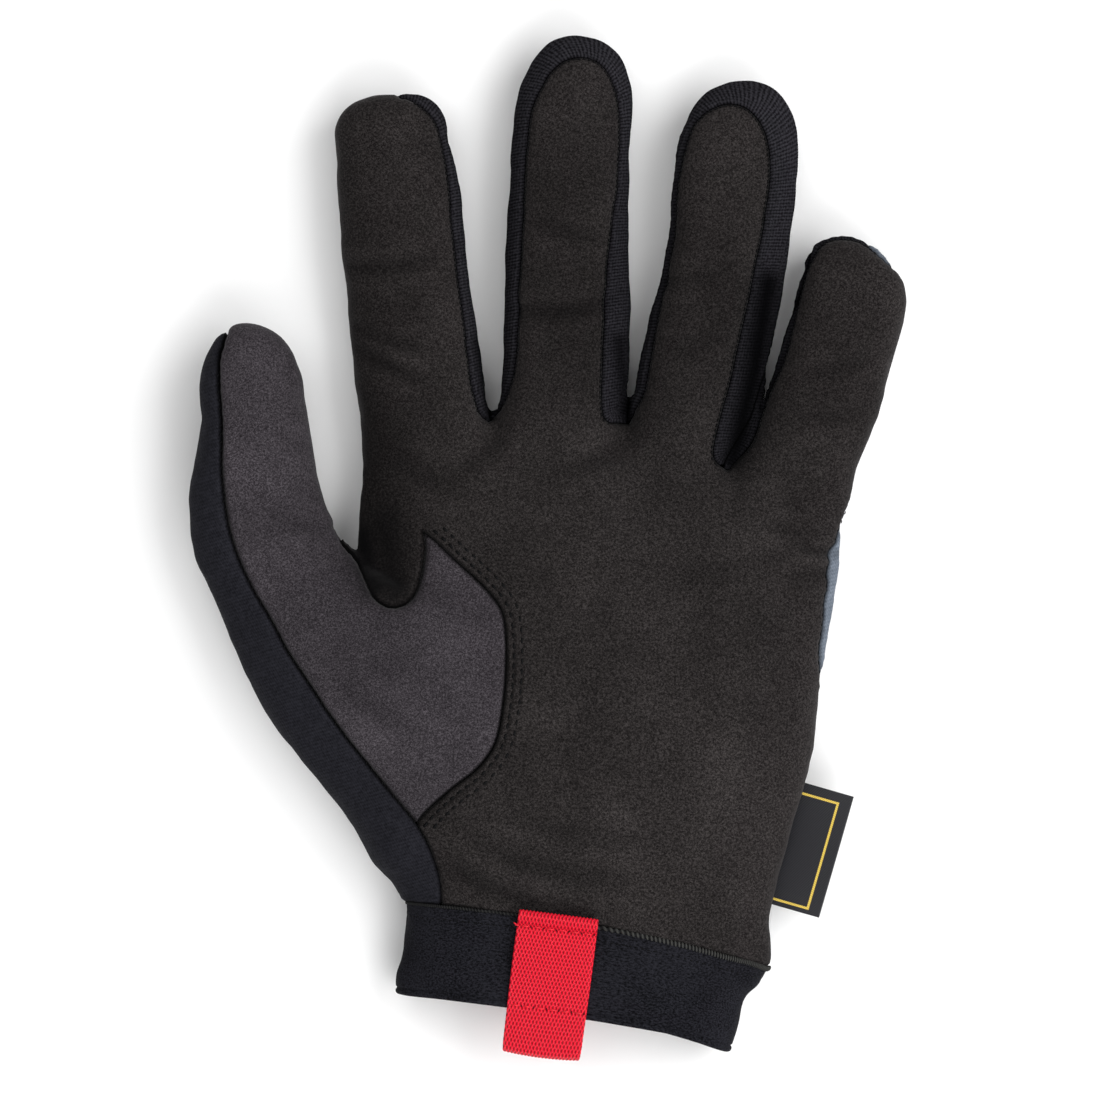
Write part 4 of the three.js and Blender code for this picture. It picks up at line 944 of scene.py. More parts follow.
PALM_SUEDE = suede("palm suede", (0.0052, 0.0044, 0.0044), (0.0155, 0.0135, 0.0133), (0.0355, 0.0315, 0.031), sheen=0.06)
THUMB_SUEDE = suede("thumb suede", (0.0145, 0.0125, 0.0145), (0.0335, 0.029, 0.0335), (0.075, 0.067, 0.075), 1.15, 0.07)
GUSSET_KNIT = ribbed_knit("gusset knit", (0.0056, 0.0054, 0.0064), (0.0262, 0.0252, 0.0298))
BLACK_KNIT = plain_knit("black knit", (0.0065, 0.0065, 0.0085), (0.0205, 0.0205, 0.0262))
GREY_KNIT = plain_knit("grey knit", (0.079, 0.093, 0.115), (0.158, 0.182, 0.22))
CUFF_ELASTIC = elastic("cuff elastic", (0.0026, 0.0026, 0.0034), (0.016, 0.016, 0.0205))
OVERLOCK_THREAD = cord("overlock thread", (0.002, 0.002, 0.0024), (0.045, 0.045, 0.042))
DARK_THREAD = thread("dark thread", (0.0026, 0.0026, 0.003), 0.08)
# Dark red thread for capsules of painted shade where the tab's stitches go into the webbing.
HOLE_SHADE_THREAD = thread("shaded thread", (0.09, 0.001, 0.004), 0.1)
RED_THREAD = thread("red thread", (0.62, 0.006, 0.02))
LABEL_SATIN = satin_label("label satin")
RED_WEBBING = webbing("red webbing", (0.15, 0.0008, 0.004), (0.86, 0.0045, 0.028))


# ------------------------------------------------------------------ the skin and its panels
FIELD = hand_field()
SLOPE = unit_gradient(FIELD)


def normals_at(points):
    g = np.stack([sample(c, points) for c in SLOPE], axis=1)
    return g / (np.linalg.norm(g, axis=1)[:, None] + 1e-9)


def make_skin():
    points, quads = zero_surface(FIELD)
    points = smooth_points(points, quads, FIELD, normals_at)
    one = np.linalg.norm(points[quads[:, 0]] - points[quads[:, 2]], axis=1)
    two = np.linalg.norm(points[quads[:, 1]] - points[quads[:, 3]], axis=1)
    short = one < two
    q = quads
    first = np.where(short[:, None], q[:, [0, 1, 2]], q[:, [0, 1, 3]])
    second = np.where(short[:, None], q[:, [0, 2, 3]], q[:, [1, 2, 3]])
    return points, np.vstack([first, second])


def seam_fields(points):
    """The field of each panel at every point of the skin: below zero inside the panel, and about
    minus the distance to its edge. Each is the greatest of the fields that bound it. With them come
    the distance to the palm's outline and the place along it."""
    palm, along = plan_distance(points, palm_outline())
    thumb, _ = plan_distance(points, thumb_outline())
    thumb_back, _ = plan_distance(points, thumb_back_outline())
    side, _ = plan_distance(points, side_outline())
    y, z = points[:, 1], points[:, 2]
    up = z - np.interp(y, *np.array(BACK_SEAM).T)
    thumb_up = z - np.interp(y, *np.array(THUMB_SEAM).T)
    wrist = (points[:, :2] - SEAM_LEFT) @ WRISTWARD + cuff_arch(points)
    web = {k: line_side(points, through(digit_points(k, rows))) for k, rows in WEBS.items()}
    outside = line_side(points, digit_points("index", [(0.05, -0.2), (0.3, -0.65), (1.3, -0.65)]))

    def most(*bounds):
        return np.maximum.reduce([*bounds, wrist])

    palm_side = np.maximum(palm, -up)
    thumb_side = np.maximum(thumb, -thumb_up)
    fields = {
        "palm_panel": most(palm_side),
        "thumb_panel": most(thumb_side, -palm),
        "thumb_back_panel": most(thumb_back, -palm_side, -thumb_side),
        "side_panel": most(side, -palm_side),
        "back_panel": most(up, -thumb_back, -side),
        "index_gusset": most(-up, -palm, -thumb, -thumb_back, -outside, web["index"]),
        "middle_gusset": most(-up, -palm, -thumb, -web["index"], web["middle"]),
        "ring_gusset": most(-up, -palm, -side, -web["middle"], web["ring"]),
        "little_gusset": most(-up, -palm, -side, -web["ring"]),
    }
    return fields, {"palm": palm, "along": along}


SKIN, SKIN_FACES = make_skin()
NORMALS = normals_at(SKIN)
FIELDS, MEASURES = seam_fields(SKIN)
LIFTED = SKIN + relief(SKIN, NORMALS)
LIFTED[:, 2] = np.maximum(LIFTED[:, 2], np.minimum(SKIN[:, 2], 0.02))

PANEL_MATERIAL = {
    "palm_panel": (PALM_SUEDE, "palm_suede"),
    "thumb_panel": (THUMB_SUEDE, "thumb_suede"),
    "thumb_back_panel": (BLACK_KNIT, "black_knit"),
    "side_panel": (GREY_KNIT, "grey_knit"),
    "back_panel": (BLACK_KNIT, "black_knit"),
    "index_gusset": (GUSSET_KNIT, "black_knit"),
    "middle_gusset": (GUSSET_KNIT, "black_knit"),
    "ring_gusset": (GUSSET_KNIT, "black_knit"),
    "little_gusset": (GUSSET_KNIT, "black_knit"),
}
PUCKER = 2.3  # spacing of the stitches that pull at a seam


def make_panel(name):
    """A panel: its part of the lifted skin, rolled into its seams by a bell of the distance to the
    edge that deepens at each stitch, then given its wall."""
    material, slot = PANEL_MATERIAL[name]
    data = {"edge": FIELDS[name], "normal": NORMALS, "along": MEASURES["along"], "palm": MEASURES["palm"]}
    points, faces, data = cut_panel(LIFTED, SKIN_FACES, data, "edge", (-0.45, -0.9, -1.5, -2.4))
    if name == "palm_panel":
        data["thenar"] = from_thenar(points)[0]
        for level in THENAR_LEVELS:
            points, faces, data, _ = split(points, faces, data, data["thenar"] - level)
    normal = data["normal"] / np.linalg.norm(data["normal"], axis=1)[:, None]
    inset = -data["edge"]
    along = data["along"]
    pull = 0.5 + 0.5 * np.cos(2 * np.pi * along / PUCKER)
    roll = 0.5 * np.exp(-((inset / 0.55) ** 2)) + (0.14 + 0.16 * pull) * np.exp(-((inset / 1.6) ** 2))
    if name == "palm_panel":
        roll = roll - folded_edge(points, inset)
    if name == "thumb_panel":
        roll = roll + 0.7 * np.exp(-((inset / 0.9) ** 2))
    points = points - normal * roll[:, None]
    points[:, 2] = np.maximum(points[:, 2], 0.02)
    # Shares of wear with painted light, and of painted shade, for the cloth's colour.
    wear_and_painted_light, shade = tones(points)
    uv = np.stack([along * MM, data["palm"] * MM], axis=1)
    solid, solid_faces = walled(points, faces, normal, WALL)
    # The stored shares carry the wear with painted light, and the hollow value the painted shade of hollows and
    # creases.
    obj = mesh_object(name + "_cloth", solid, solid_faces, material, uv=np.vstack([uv, uv]),
                      values={"inset": np.tile(inset * MM, 2), "wear_and_painted_light": np.tile(wear_and_painted_light, 2), "hollow": np.tile(shade, 2)})
    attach(obj, "root")
    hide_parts(name)
    return obj


for panel in PANEL_MATERIAL:
    make_panel(panel)


# ------------------------------------------------------------------ the cuff
# Its left and right edge, as x on the seam line, and its top, by the distance from the seam.
CUFF_LEFT = [(0, -46.5), (2.1, -46.2), (7.8, -45.55), (11, -44.9), (13.5, -44.75), (16.5, -45.2), (19.4, -44.95),
             (21, -44.4)]
CUFF_RIGHT = [(0, 40.3), (1.2, 39.5), (4.4, 38.1), (7.5, 36.5), (10.6, 35.75), (13.6, 35.57), (16.6, 35.4),
              (19.6, 34.9), (21, 34.4)]
CUFF_TOP = [(0, 21.28), (4.2, 20.86), (8.4, 20.44), (14.7, 20.02), (21, 19.88)]
# Extra length at the hem, by x
HEM_FALL = [(-60, 0.6), (-35, 0.8), (-20, 1.1), (0, 1.2), (19, 0.7), (27, 1.2), (33, 1.7), (50, 1.7)]
CUFF_SIDES = 520


def cuff_section(down):
    """Left edge, right edge and top of the cuff at a distance from the seam."""
    held = np.clip(down, 0, CUFF_HEIGHT)
    return [table(rows, held)[0] for rows in (CUFF_LEFT, CUFF_RIGHT, CUFF_TOP)]


def cuff_ring(down, turn):
    """Middle of the cuff's cloth: a superellipse of power 2.6 above the waist and 2.9 below, carried
    from the seam line towards the wrist, with soft waves. Down and turn are grids."""
    left, right, top = cuff_section(down)
    c, s = np.cos(turn), np.sin(turn)
    power = np.where(s > 0, 2.6, BACK_POWER)
    a = np.sign(c) * np.abs(c) ** (2 / power)
    b = np.sign(s) * np.abs(s) ** (2 / power)
    waist = -FLAT_DEPTH + WAIST * (top + FLAT_DEPTH)
    x = (left + right) / 2 + a * (right - left) / 2
    z = waist + b * np.where(s > 0, top - waist, waist + FLAT_DEPTH)
    share = (x - SEAM_LEFT[0]) / (SEAM_RIGHT - SEAM_LEFT)[0]
    y = SEAM_LEFT[1] + share * (SEAM_RIGHT - SEAM_LEFT)[1]
    fall = down * (1 + np.interp(x, *np.array(HEM_FALL).T) / CUFF_HEIGHT)
    points = np.stack([x + fall * WRISTWARD[0], y + fall * WRISTWARD[1], z], axis=-1)
    arch = cuff_arch(points)
    points[..., :2] -= arch[..., None] * WRISTWARD
    return points


def cuff_surface(profile, sides=CUFF_SIDES):
    """The profile's points (down, out) carried round the ring: each lies its own distance out along
    the ring's normal, and never under the table by less than its depth in the cloth."""
    down, out = np.asarray(profile, float).T
    turn = np.linspace(0, 2 * np.pi, 2400, endpoint=False)
    ring = cuff_ring(np.full_like(turn, 5.0), turn)
    run = np.concatenate([[0], np.cumsum(np.linalg.norm(np.diff(np.vstack([ring, ring[:1]]), axis=0), axis=1))])
    turn = np.interp(np.linspace(0, run[-1], sides, endpoint=False), run, np.append(turn, 2 * np.pi))
    grid_down, grid_turn = np.broadcast_arrays(down[:, None], turn[None, :])
    points = cuff_ring(grid_down, grid_turn)
    around = cuff_ring(grid_down, grid_turn + 1e-3) - cuff_ring(grid_down, grid_turn - 1e-3)
    held = np.clip(grid_down, 0.2, CUFF_HEIGHT - 0.2)
    along = cuff_ring(held + 0.2, grid_turn) - cuff_ring(held - 0.2, grid_turn)
    normal = np.cross(around, along)
    normal /= np.linalg.norm(normal, axis=-1)[..., None]
    outward = points - points.mean(axis=1, keepdims=True)
    normal *= np.sign((normal * outward).sum(-1))[..., None]
    flat = points.reshape(-1, 3)
    wave = 0.42 * cloth_noise(flat, 19, 21) + 0.16 * cloth_noise(flat, 8, 22)
    gather = 0.14 * cloth_noise(flat, 3.6, 23)
    near = np.exp(-np.clip(grid_down, 0, None) / 3.5).ravel()
    wave = (wave + gather * near) * np.clip((flat[:, 2] - 3) / 6, 0, 1)
    offset = out[:, None] + wave.reshape(grid_down.shape)
    points = points + normal * offset[..., None]
    points[..., 2] = np.maximum(points[..., 2], 0.02 + np.clip(0.4 - out[:, None], 0, None))
    return points, turn, run[-1]


def closed_grid(rows, columns):
    """Four-sided faces of a grid that closes on itself both ways."""
    i, j = np.meshgrid(np.arange(rows), np.arange(columns), indexing="ij")
    i2, j2 = (i + 1) % rows, (j + 1) % columns
    return np.stack([i * columns + j, i * columns + j2, i2 * columns + j2, i2 * columns + j], axis=-1).reshape(-1, 4)


def capped_grid(rows, columns):
    """Faces of a tube: a grid that closes on itself across, with a fan over either end. The two end
    points follow the grid's own."""
    i, j = np.meshgrid(np.arange(rows - 1), np.arange(columns), indexing="ij")
    j2 = (j + 1) % columns
    quads = np.stack([i * columns + j, i * columns + j2, (i + 1) * columns + j2, (i + 1) * columns + j], axis=-1).reshape(-1, 4)
    k = np.arange(columns)
    k2 = (k + 1) % columns
    last = (rows - 1) * columns
    start = np.stack([k2, k, np.full(columns, rows * columns)], axis=1)
    end = np.stack([last + k, last + k2, np.full(columns, rows * columns + 1)], axis=1)
    tris = np.vstack([quads[:, [0, 1, 2]], quads[:, [0, 2, 3]], start, end])
    return tris


def even(points, spacing, closed=False):
    """The same curve with its points an even distance apart."""
    p = np.asarray(points, float)
    if closed:
        p = np.vstack([p, p[:1]])
    run = np.concatenate([[0], np.cumsum(np.linalg.norm(np.diff(p, axis=0), axis=1))])
    at = np.linspace(0, run[-1], max(int(round(run[-1] / spacing)), 3) + 1)
    if closed:
        at = at[:-1]
    return np.stack([np.interp(at, run, column) for column in p.T], axis=1)


def faces_out(points, faces):
    """Turns all faces round if the closed surface's signed volume is less than zero."""
    p = points[faces[:, :3]]
    volume = np.einsum("ij,ij->i", p[:, 0], np.cross(p[:, 1], p[:, 2])).sum()
    if faces.shape[1] == 4:
        p = points[faces[:, [0, 2, 3]]]
        volume += np.einsum("ij,ij->i", p[:, 0], np.cross(p[:, 1], p[:, 2])).sum()
    return faces if volume > 0 else faces[:, ::-1]


def make_cuff():
    """The elastic band: a flat wall with a rolled hem, a step above the hem and a dimpled stitch line
    under the seam, carried round the wrist."""
    profile = through([(0.0, -1.2), (0.0, -0.1), (0.3, 0.36), (0.9, 0.4), (2.4, 0.38), (3.0, 0.26), (3.6, 0.36), (5, 0.42),
                       (9, 0.42), (15, 0.42), (19.0, 0.42), (19.45, 0.02), (19.9, 0.55), (20.5, 0.7), (21.0, 0.3),
                       (21.1, -0.4), (20.8, -1.2), (20.0, -1.6), (15, -1.62), (8, -1.6), (2, -1.6), (0.4, -1.55)], 8)
    profile = even(profile, 0.42, closed=True)
    points, turn, run = cuff_surface(profile)
    rows, columns = points.shape[:2]
    faces = closed_grid(rows, columns)
    flat = points.reshape(-1, 3)
    u = np.broadcast_to(turn[None, :] / (2 * np.pi) * run * MM, (rows, columns))
    v = np.broadcast_to(profile[:, 0][:, None] * MM, (rows, columns))
    obj = mesh_object("cuff_elastic_band", flat, faces_out(flat, faces), CUFF_ELASTIC,
                      uv=np.stack([u, v], axis=-1).reshape(-1, 2))
    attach(obj, "root")
    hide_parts("cuff_band")


def make_cuff_stitches():
    """The row of small stitches sunk in the cuff's groove on the palm side."""
    ring, _, _ = cuff_surface([(2.95, 0.3), (2.95, 0.9)], 128)
    up = ring[1] - ring[0]
    up /= np.linalg.norm(up, axis=1)[:, None]
    ahead = np.roll(ring[0], -1, 0) - np.roll(ring[0], 1, 0)
    ahead /= np.linalg.norm(ahead, axis=1)[:, None]
    held = ring[0][:, 2] > 12
    points, faces = stitch_shapes((ring[0] - 0.02 * up)[held], ahead[held], up[held], 0.85, 0.19)
    obj = mesh_object("cuff_stitches", points, faces, DARK_THREAD)
    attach(obj, "root")


def make_overlock():
    """The corded edge over the cuff's seam: a round cord of about 0.4 mm whose surface carries
    slanting thread turns, so its radius is r + ridge * cos(turns along it + the angle round it)."""
    count = 1900
    ring, turn, run = cuff_surface([(0.0, 0.42), (0.05, 0.9)], count)
    centre = ring[0]
    up = ring[1] - ring[0]
    up /= np.linalg.norm(up, axis=1)[:, None] + 1e-9
    ahead = np.roll(centre, -1, 0) - np.roll(centre, 1, 0)
    ahead /= np.linalg.norm(ahead, axis=1)[:, None]
    side = np.cross(ahead, up)
    angle = np.linspace(0, 2 * np.pi, 12, endpoint=False)
    bold = np.clip((centre[:, 0] + 18) / 34, 0, 1) * np.clip((centre[:, 2] - 4) / 8, 0, 1)
    turns = round(run / 0.7)
    phase = turns * turn[:, None] + angle[None, :]
    radius = (0.26 + 0.16 * bold)[:, None] + (0.05 + 0.07 * bold)[:, None] * np.cos(phase)
    shape = (centre[:, None] + radius[..., None] * (1.35 * np.cos(angle)[None, :, None] * side[:, None]
                                                     + np.sin(angle)[None, :, None] * up[:, None]))
    shape[..., 2] = np.maximum(shape[..., 2], 0.03)
    flat = shape.reshape(-1, 3)
    faces = closed_grid(count, len(angle))
    ridge = (0.5 + 0.5 * np.cos(phase)) * (0.42 + 0.58 * bold)[:, None]
    obj = mesh_object("cuff_overlock", flat, faces_out(flat, faces), OVERLOCK_THREAD, values={"ridge": ridge.ravel()})
    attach(obj, "root")


def cuff_height(xy, down):
    """Height of the cuff's middle cloth over plan points near its top."""
    left, right, top = cuff_section(down)
    waist = -FLAT_DEPTH + WAIST * (top + FLAT_DEPTH)
    x = xy[..., 0] - down * WRISTWARD[0]
    a = np.clip((x - (left + right) / 2) / ((right - left) / 2), -0.98, 0.98)
    return waist + (top - waist) * (1 - np.abs(a) ** 2.6) ** (1 / 2.6)


# ------------------------------------------------------------------ the pull tab
TAB_TOP = np.array([-10.05, -51.95])
TAB_TILT = math.radians(7.2)
TAB_PATH = [(-2.5, 1.0), (-3.0, 1.0), (-3.6, 1.2), (-4.0, 1.65), (-4.0, 2.2), (-3.4, 2.6), (-2.6, 2.62), (-1.9, 2.35),
            (-1.35, 1.7), (-0.9, 1.25), (-0.2, 1.1), (1.5, 1.05), (5, 1.05), (12, 1.02), (20, 1.05), (24.5, 1.2),
            (27.4, 1.0), (28.75, 0.45), (29.35, -0.7), (28.8, -1.85), (27.4, -2.45), (22, -2.5), (12, -2.5)]
TAB_ROWS = (-0.9, 18.5)  # where its two rows of stitches lie along the path
TAB_COLUMNS = 108


def make_tab_stitches(grid, path, wide):
    """Two rows of stitches across the webbing, on its upper face, each a capsule with a dark crosswise capsule of
    painted shade at the hole between it and the next, and the loose end of the upper row's thread at the left corner."""
    upper = np.flatnonzero((path[:, 1] > 0.5) & (np.arange(len(path)) > np.argmin(path[:, 0])))
    face = slice(TAB_COLUMNS + 5, 2 * TAB_COLUMNS + 5)
    if grid[upper[40], face, 2].mean() < grid[upper[40], :TAB_COLUMNS, 2].mean():
        face = slice(0, TAB_COLUMNS)
    parts, hole_shades = [], []
    for down in TAB_ROWS:
        row = upper[np.argmin(np.abs(path[upper, 0] - down))]
        line = grid[row, face]
        line = line[np.argsort(line[:, 0])]
        at = np.arange(-7.6, 7.7, 3.0)
        w = np.sort(wide[face])
        centre = np.stack([np.interp(at, w, c) for c in line.T], axis=1)
        centre[:, 2] += 0.1
        ahead = np.tile((line[-1] - line[0]) / np.linalg.norm(line[-1] - line[0]), (len(at), 1))
        up = np.tile([0.0, 0.0, 1.0], (len(at), 1))
        parts.append(stitch_shapes(centre, ahead, up, 2.5, 0.27, arc=0.9))
        # Dark crosswise capsules paint the shade in each stitch hole.
        hole_shades.append(stitch_shapes(centre + ahead * 1.5 - up * 0.02, np.tile([ahead[0, 1], -ahead[0, 0], 0], (len(at), 1)), up,
                                   0.75, 0.2, arc=0.4))
        if down == TAB_ROWS[0]:
            end = centre[0] - ahead[0] * 1.9 + np.array([0, 0, 0.05])
            ends = np.array([end, end - ahead[0] * 0.4 + np.array([0, 0.25, -0.1])])
            parts.append(stitch_shapes(ends, np.array([-ahead[0], [-0.8, 0.6, 0]]), up[:2], 1.2, 0.2, arc=0.3))
    points, faces = put_together(parts)
    obj = mesh_object("tab_stitches", points, faces, RED_THREAD)
    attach(obj, "root")
    points, faces = put_together(hole_shades)
    obj = mesh_object("tab_stitch_hole_shades", points, faces, HOLE_SHADE_THREAD)
    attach(obj, "root")


def make_tab():
    """The folded webbing: a flat section with round selvages carried along the fold's path. Its skin
    is raised by 0.5 + 0.5 * cos(pi l / weft) * cos(2 pi w / warp), the floats of its weave."""
    ahead = np.array([-math.sin(TAB_TILT), -math.cos(TAB_TILT)])
    across = np.array([math.cos(TAB_TILT), -math.sin(TAB_TILT)])
    path = even(through(TAB_PATH, 10), WEFT / 4)
    run = np.concatenate([[0], np.cumsum(np.linalg.norm(np.diff(path, axis=0), axis=1))])
    tangent = np.gradient(path, axis=0)
    tangent /= np.linalg.norm(tangent, axis=1)[:, None]
    out = np.stack([-tangent[:, 1], tangent[:, 0]], axis=1)
    half, thick = TAB_WIDTH / 2, TAB_THICKNESS * 0.42
    w = np.linspace(-half + 0.35, half - 0.35, TAB_COLUMNS)
    edge = np.linspace(-np.pi / 2, np.pi / 2, 7)[1:-1]
    wide = np.concatenate([w, half - 0.35 + 0.35 * np.cos(edge), w[::-1], -half + 0.35 - 0.35 * np.cos(edge)])
    high = np.concatenate([np.full(TAB_COLUMNS, -1.0), np.sin(edge), np.full(TAB_COLUMNS, 1.0), -np.sin(edge)])
    floats = 0.5 + 0.5 * np.cos(np.pi * run / WEFT)[:, None] * np.cos(2 * np.pi * wide[None, :] / WARP)
    selvage = np.clip((np.abs(wide) - half + 1.0) / 0.5, 0, 1)[None, :]
    relief_height = 0.2 * floats * (1 - selvage) + 0.12 * selvage
    depth = high[None, :] * (thick - 0.14 + relief_height)
    narrow = 1 + 0.012 * np.sin(run / 9.0)[:, None] - 0.02 * np.clip((run[:, None] - 34) / 4, 0, 1)
    sag = -0.05 * (wide[None, :] / half) ** 2
    s = path[:, :1] + out[:, :1] * depth
    h = path[:, 1:] + out[:, 1:] * depth + sag
    bow = 0.5 * (1 - (wide[None, :] / half) ** 2) * np.clip((path[:, :1] - 20) / 9, 0, 1)
    along = s + bow
    xy = TAB_TOP + (along + 3.2)[..., None] * ahead + (wide[None, :] * narrow)[..., None] * across
    down = (xy - SEAM_LEFT) @ WRISTWARD
    ground = cuff_height(xy, np.clip(down, 0, CUFF_HEIGHT)) + 0.25 * np.clip(-down, 0, None)
    z = ground + h
    rows_n, columns = z.shape
    points = np.concatenate([xy, z[..., None]], axis=-1).reshape(-1, 3)
    ends = np.stack([points[:columns].mean(0), points[-columns:].mean(0)])
    points = np.vstack([points, ends])
    make_tab_stitches(points[:-2].reshape(rows_n, columns, 3), path, wide)
    uv = np.stack(np.broadcast_arrays(wide[None, :] * MM, run[:, None] * MM), axis=-1).reshape(-1, 2)
    uv = np.vstack([uv, uv[:1], uv[-1:]])
    faces = faces_out(points, capped_grid(rows_n, columns))
    obj = mesh_object("tab_webbing", points, faces, RED_WEBBING, uv=uv)
    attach(obj, "root")
    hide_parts("pull_tab")


# ------------------------------------------------------------------ the side label
LABEL_ROOT = (np.array([48.3, -19.6]), np.array([40.1, -48.0]))
LABEL_HEIGHT = 10.2


def make_label():
    """The folded satin tape: two thin layers that meet in a round fold at the outer edge, carried
    along the seam with a slight twist and droop."""
    root_high, root_low = LABEL_ROOT
    along = (root_low - root_high) / np.linalg.norm(root_low - root_high)
    across = np.array([-along[1], along[0]])
    half, layer = 0.52, 0.3
    fold = np.linspace(-np.pi / 2, np.pi / 2, 15)
    reach = LABEL_WIDTH + 0.6 - half
    run = np.linspace(-0.6, reach, 46)
    outer = np.vstack([np.stack([run, np.full(46, -half)], 1),
                       np.stack([reach + half * np.cos(fold), half * np.sin(fold)], 1)[1:-1],
                       np.stack([run[::-1], np.full(46, half)], 1)])
    inner_half = half - layer
    inner = np.vstack([np.stack([run, np.full(46, inner_half)], 1),
                       np.stack([reach + inner_half * np.cos(-fold[::3]), -inner_half * np.sin(fold[::3])], 1)[1:-1],
                       np.stack([run[::-1], np.full(46, -inner_half)], 1)])
    profile = np.vstack([outer, inner])
    t = np.linspace(0, 1, 110)
    length = LABEL_LENGTH
    w, h = profile[:, 0][None, :], profile[:, 1][None, :]
    l = (t * length)[:, None]
    far = w / LABEL_WIDTH
    droop = -0.9 * far ** 2 + 0.55 * np.sin(np.pi * t)[:, None] * far + 0.35 * (t[:, None] - 0.5) * far
    closing = 1 - 0.5 * np.exp(-(w + 0.6) / 2.0)
    xy = root_high + l[..., None] * along + w[..., None] * across
    z = LABEL_HEIGHT + h * closing + droop
    rows, columns = z.shape
    points = np.concatenate([xy, z[..., None]], axis=-1).reshape(-1, 3)
    k = np.arange(columns)
    k2 = (k + 1) % columns
    i, j = np.meshgrid(np.arange(rows - 1), k, indexing="ij")
    j2 = (j + 1) % columns
    quads = np.stack([i * columns + j, i * columns + j2, (i + 1) * columns + j2, (i + 1) * columns + j], axis=-1).reshape(-1, 4)
    n_out = len(outer)
    cap = cap_between(n_out, columns)
    last = (rows - 1) * columns
    tris = np.vstack([quads[:, [0, 1, 2]], quads[:, [0, 2, 3]], cap[:, ::-1], cap + last])
    uv = np.stack(np.broadcast_arrays(w * MM, l * MM), axis=-1).reshape(-1, 2)
    obj = mesh_object("label_tape", points, faces_out(points, tris), LABEL_SATIN, uv=uv)
    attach(obj, "root")
    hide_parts("side_label")


def cap_between(outer_count, total):
    """Triangles that close the end of the folded tape, between its outer line and its inner line."""
    inner_count = total - outer_count
    a = np.arange(outer_count - 1)
    at = np.round(a / (outer_count - 1) * (inner_count - 1)).astype(int)
    after = np.round((a + 1) / (outer_count - 1) * (inner_count - 1)).astype(int)
    inner = total - 1 - at
    inner_after = total - 1 - after
    one = np.stack([a, a + 1, inner], axis=1)
    two = np.stack([a + 1, inner_after, inner], axis=1)
    return np.vstack([one, two[inner != inner_after]])


# ------------------------------------------------------------------ stitches


def on_skin(xy):
    """Points and normals of the palm side at plan points, and whether the skin is there at all: the
    field's highest zero, by halving, then the folds' shift."""
    xy = np.asarray(xy, float)
    low = np.full(len(xy), 6.0)
    high = np.full(len(xy), 32.0)
    for _ in range(20):
        mid = (low + high) / 2
        outside = sample(FIELD, np.column_stack([xy, mid])) > 0
        high = np.where(outside, mid, high)
        low = np.where(outside, low, mid)
    points = np.column_stack([xy, (low + high) / 2])
    normals = normals_at(points)
    return points + relief(points, normals), normals, np.abs(sample(FIELD, points)) < 0.5


STITCH_RINGS, STITCH_SIDES = 3, 6


def stitch_shapes(points, ahead, normals, length, radius, arc=0.5):
    """Small capsules, one at each point: along t from -1 to 1 the radius is r * sqrt(1 - t^2) at its
    ends, and the thread dips into the cloth by arc * radius * t^2."""
    side = np.cross(normals, ahead)
    side /= np.linalg.norm(side, axis=1)[:, None]
    up = np.cross(ahead, side)
    t = np.array([-0.72, 0.0, 0.72])
    angle = np.linspace(0, 2 * np.pi, STITCH_SIDES, endpoint=False)
    thick = radius * np.array([0.85, 1.0, 0.85])
    centre = (points[:, None] + ahead[:, None] * (t * length / 2)[None, :, None]
              - up[:, None] * (arc * radius * 2 * t**2)[None, :, None])
    ring = (centre[:, :, None] + thick[None, :, None, None]
            * (np.cos(angle)[None, None, :, None] * side[:, None, None] + np.sin(angle)[None, None, :, None] * up[:, None, None]))
    poles = points[:, None] + ahead[:, None] * (np.array([-1, 1]) * length / 2)[None, :, None] - up[:, None] * arc * radius * 2.4
    count = STITCH_RINGS * STITCH_SIDES
    body = np.concatenate([ring.reshape(len(points), count, 3), poles], axis=1)
    faces = capped_grid(STITCH_RINGS, STITCH_SIDES)
    faces = faces_out(body[0], faces)
    all_faces = (faces[None] + (np.arange(len(points)) * (count + 2))[:, None, None]).reshape(-1, 3)
    return body.reshape(-1, 3), all_faces


def along_line(line, pitch, start=0.0):
    """Points and headings at an even pitch along a plan line."""
    line = np.asarray(line, float)
    run = np.concatenate([[0], np.cumsum(np.linalg.norm(np.diff(line, axis=0), axis=1))])
    at = np.arange(start, run[-1] - start, pitch)
    here = np.stack([np.interp(at, run, c) for c in line.T], axis=1)
    ahead = np.stack([np.interp(np.clip(at + 0.4, 0, run[-1]), run, c) - np.interp(np.clip(at - 0.4, 0, run[-1]), run, c)
                      for c in line.T], axis=1)
    return here, ahead / np.linalg.norm(ahead, axis=1)[:, None]


def stitch_row(line, pitch, length, radius, offset=0.0, slant=0.0, sink=0.05, start=0.8):
    """A row of stitches beside a plan line, each turned by the slant from the line's heading. The
    offset is to the right of the heading."""
    here, ahead = along_line(line, pitch, start)
    right = np.stack([ahead[:, 1], -ahead[:, 0]], axis=1)
    points, normals, held = on_skin(here + right * offset)
    points, normals, ahead, right = points[held], normals[held], ahead[held], right[held]
    turn = math.radians(slant)
    flat = ahead * math.cos(turn) + right * math.sin(turn)
    direction = np.column_stack([flat, np.zeros(len(flat))])
    direction -= normals * (direction * normals).sum(1)[:, None]
    direction /= np.linalg.norm(direction, axis=1)[:, None]
    return stitch_shapes(points - normals * sink, direction, normals, length, radius)


def put_together(parts):
    """One mesh's points and faces from several."""
    starts = np.cumsum([0] + [len(p) for p, _ in parts])
    return np.vstack([p for p, _ in parts]), np.vstack([f + s for (_, f), s in zip(parts, starts)])


SEAM_INSIDE = {"index": -0.5, "middle": 0.5, "ring": 0.5, "little": 0.5}  # how far the stitches lie inside the tongue


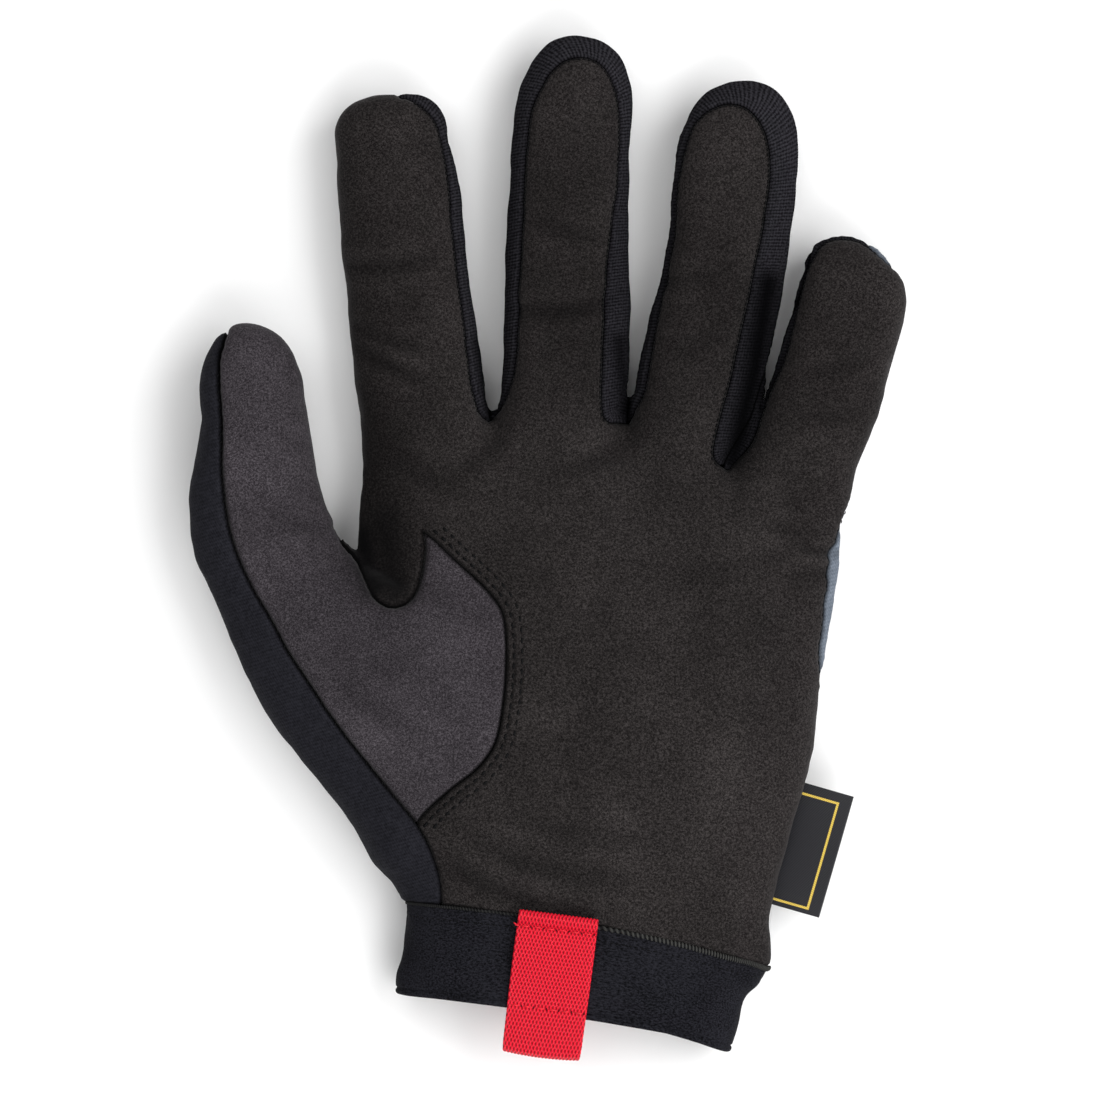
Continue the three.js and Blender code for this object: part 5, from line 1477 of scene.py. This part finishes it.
def make_stitches():
    thenar = through(THENAR)
    rows = [stitch_row(thenar, 2.35, 1.7, 0.34, STITCH_ROWS[0], sink=-0.12, start=1.2),
            stitch_row(thenar, 2.35, 1.7, 0.36, STITCH_ROWS[1], sink=-0.12, start=2.4),
            stitch_row([(-43.6, 38.0), (-43.4, 33.0), (-43.9, 28.6)], 1.3, 0.7, 0.17, -0.7)]
    for name in ("index", "middle", "ring", "little"):
        line = through(digit_points(name, SEAMS[name]))
        if name == "index":
            line = line[:-22]
        if name == "little":
            line = line[:-14]
        rows.append(stitch_row(line, 1.3, 0.85, 0.21, SEAM_INSIDE[name], sink=0.08))
    rows.append(stitch_row(through(digit_points("thumb", SEAMS["thumb"]))[6:-32], 2.0, 0.95, 0.13, 0.0, slant=40, sink=0.42))
    rows.append(stitch_row(through(OUTER)[8:-16], 2.3, 0.9, 0.13, 0.3, slant=35, sink=0.4))
    points, faces = put_together(rows)
    obj = mesh_object("seam_stitches", points, faces, DARK_THREAD)
    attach(obj, "root")


make_cuff()
make_cuff_stitches()
make_overlock()
make_tab()
make_label()
make_stitches()


# ------------------------------------------------------------------ rest: floor, light and camera
def make_floor():
    mesh = bpy.data.meshes.new("floor")
    s = 3.0
    mesh.from_pydata([(-s, -s, 0), (s, -s, 0), (s, s, 0), (-s, s, 0)], [], [(0, 1, 2, 3)])
    n = Nodes("pale floor")
    n.feed(n.shader, Base_Color=(0.93, 0.93, 0.93, 1), Roughness=0.9)
    mesh.materials.append(n.material)
    floor = bpy.data.objects.new("floor", mesh)
    bpy.context.scene.collection.objects.link(floor)


make_floor()

PIXEL = 0.24  # millimetres a pixel
IMAGE_SIDE = 1097
ORIGIN_PIXEL = (600, 700)  # where the frame's origin shows
FRAME_MM = IMAGE_SIDE * PIXEL
CAMERA_HEIGHT = 1.6
WAIST_HEIGHT = 0.010


def make_camera():
    data = bpy.data.cameras.new("camera")
    data.sensor_width = 36.0
    data.lens = 36.0 * (CAMERA_HEIGHT - WAIST_HEIGHT) / (FRAME_MM * MM)
    data.clip_end = 20
    camera = bpy.data.objects.new("camera", data)
    across = (IMAGE_SIDE / 2 - ORIGIN_PIXEL[0]) * PIXEL * MM
    upward = (ORIGIN_PIXEL[1] - IMAGE_SIDE / 2) * PIXEL * MM
    camera.location = (across, upward, CAMERA_HEIGHT)
    bpy.context.scene.collection.objects.link(camera)
    bpy.context.scene.camera = camera


def area_light(name, place, target, size, power):
    data = bpy.data.lights.new(name, "AREA")
    data.shape = "SQUARE"
    data.size = size
    data.energy = power
    light = bpy.data.objects.new(name, data)
    light.location = place
    aim = np.array(target, float) - np.array(place, float)
    yaw = math.atan2(aim[1], aim[0])
    pitch = math.atan2(math.hypot(aim[0], aim[1]), -aim[2])
    light.rotation_euler = (pitch, 0, yaw - math.pi / 2)
    bpy.context.scene.collection.objects.link(light)


make_camera()
area_light("key", (1.05, 0.3, 1.05), (0, 0.03, 0), 1.3, 18.5)
area_light("low", (0.45, -1.0, 1.0), (0, 0.0, 0), 1.3, 17)
area_light("fill", (-0.7, 0.7, 1.4), (0, 0.03, 0), 1.4, 8.5)
world = bpy.data.worlds.new("soft room")
world.use_nodes = True
world.node_tree.nodes["Background"].inputs[0].default_value = (1, 1, 1, 1)
world.node_tree.nodes["Background"].inputs[1].default_value = 0.38
bpy.context.scene.world = world
bpy.context.scene.view_settings.view_transform = "Standard"
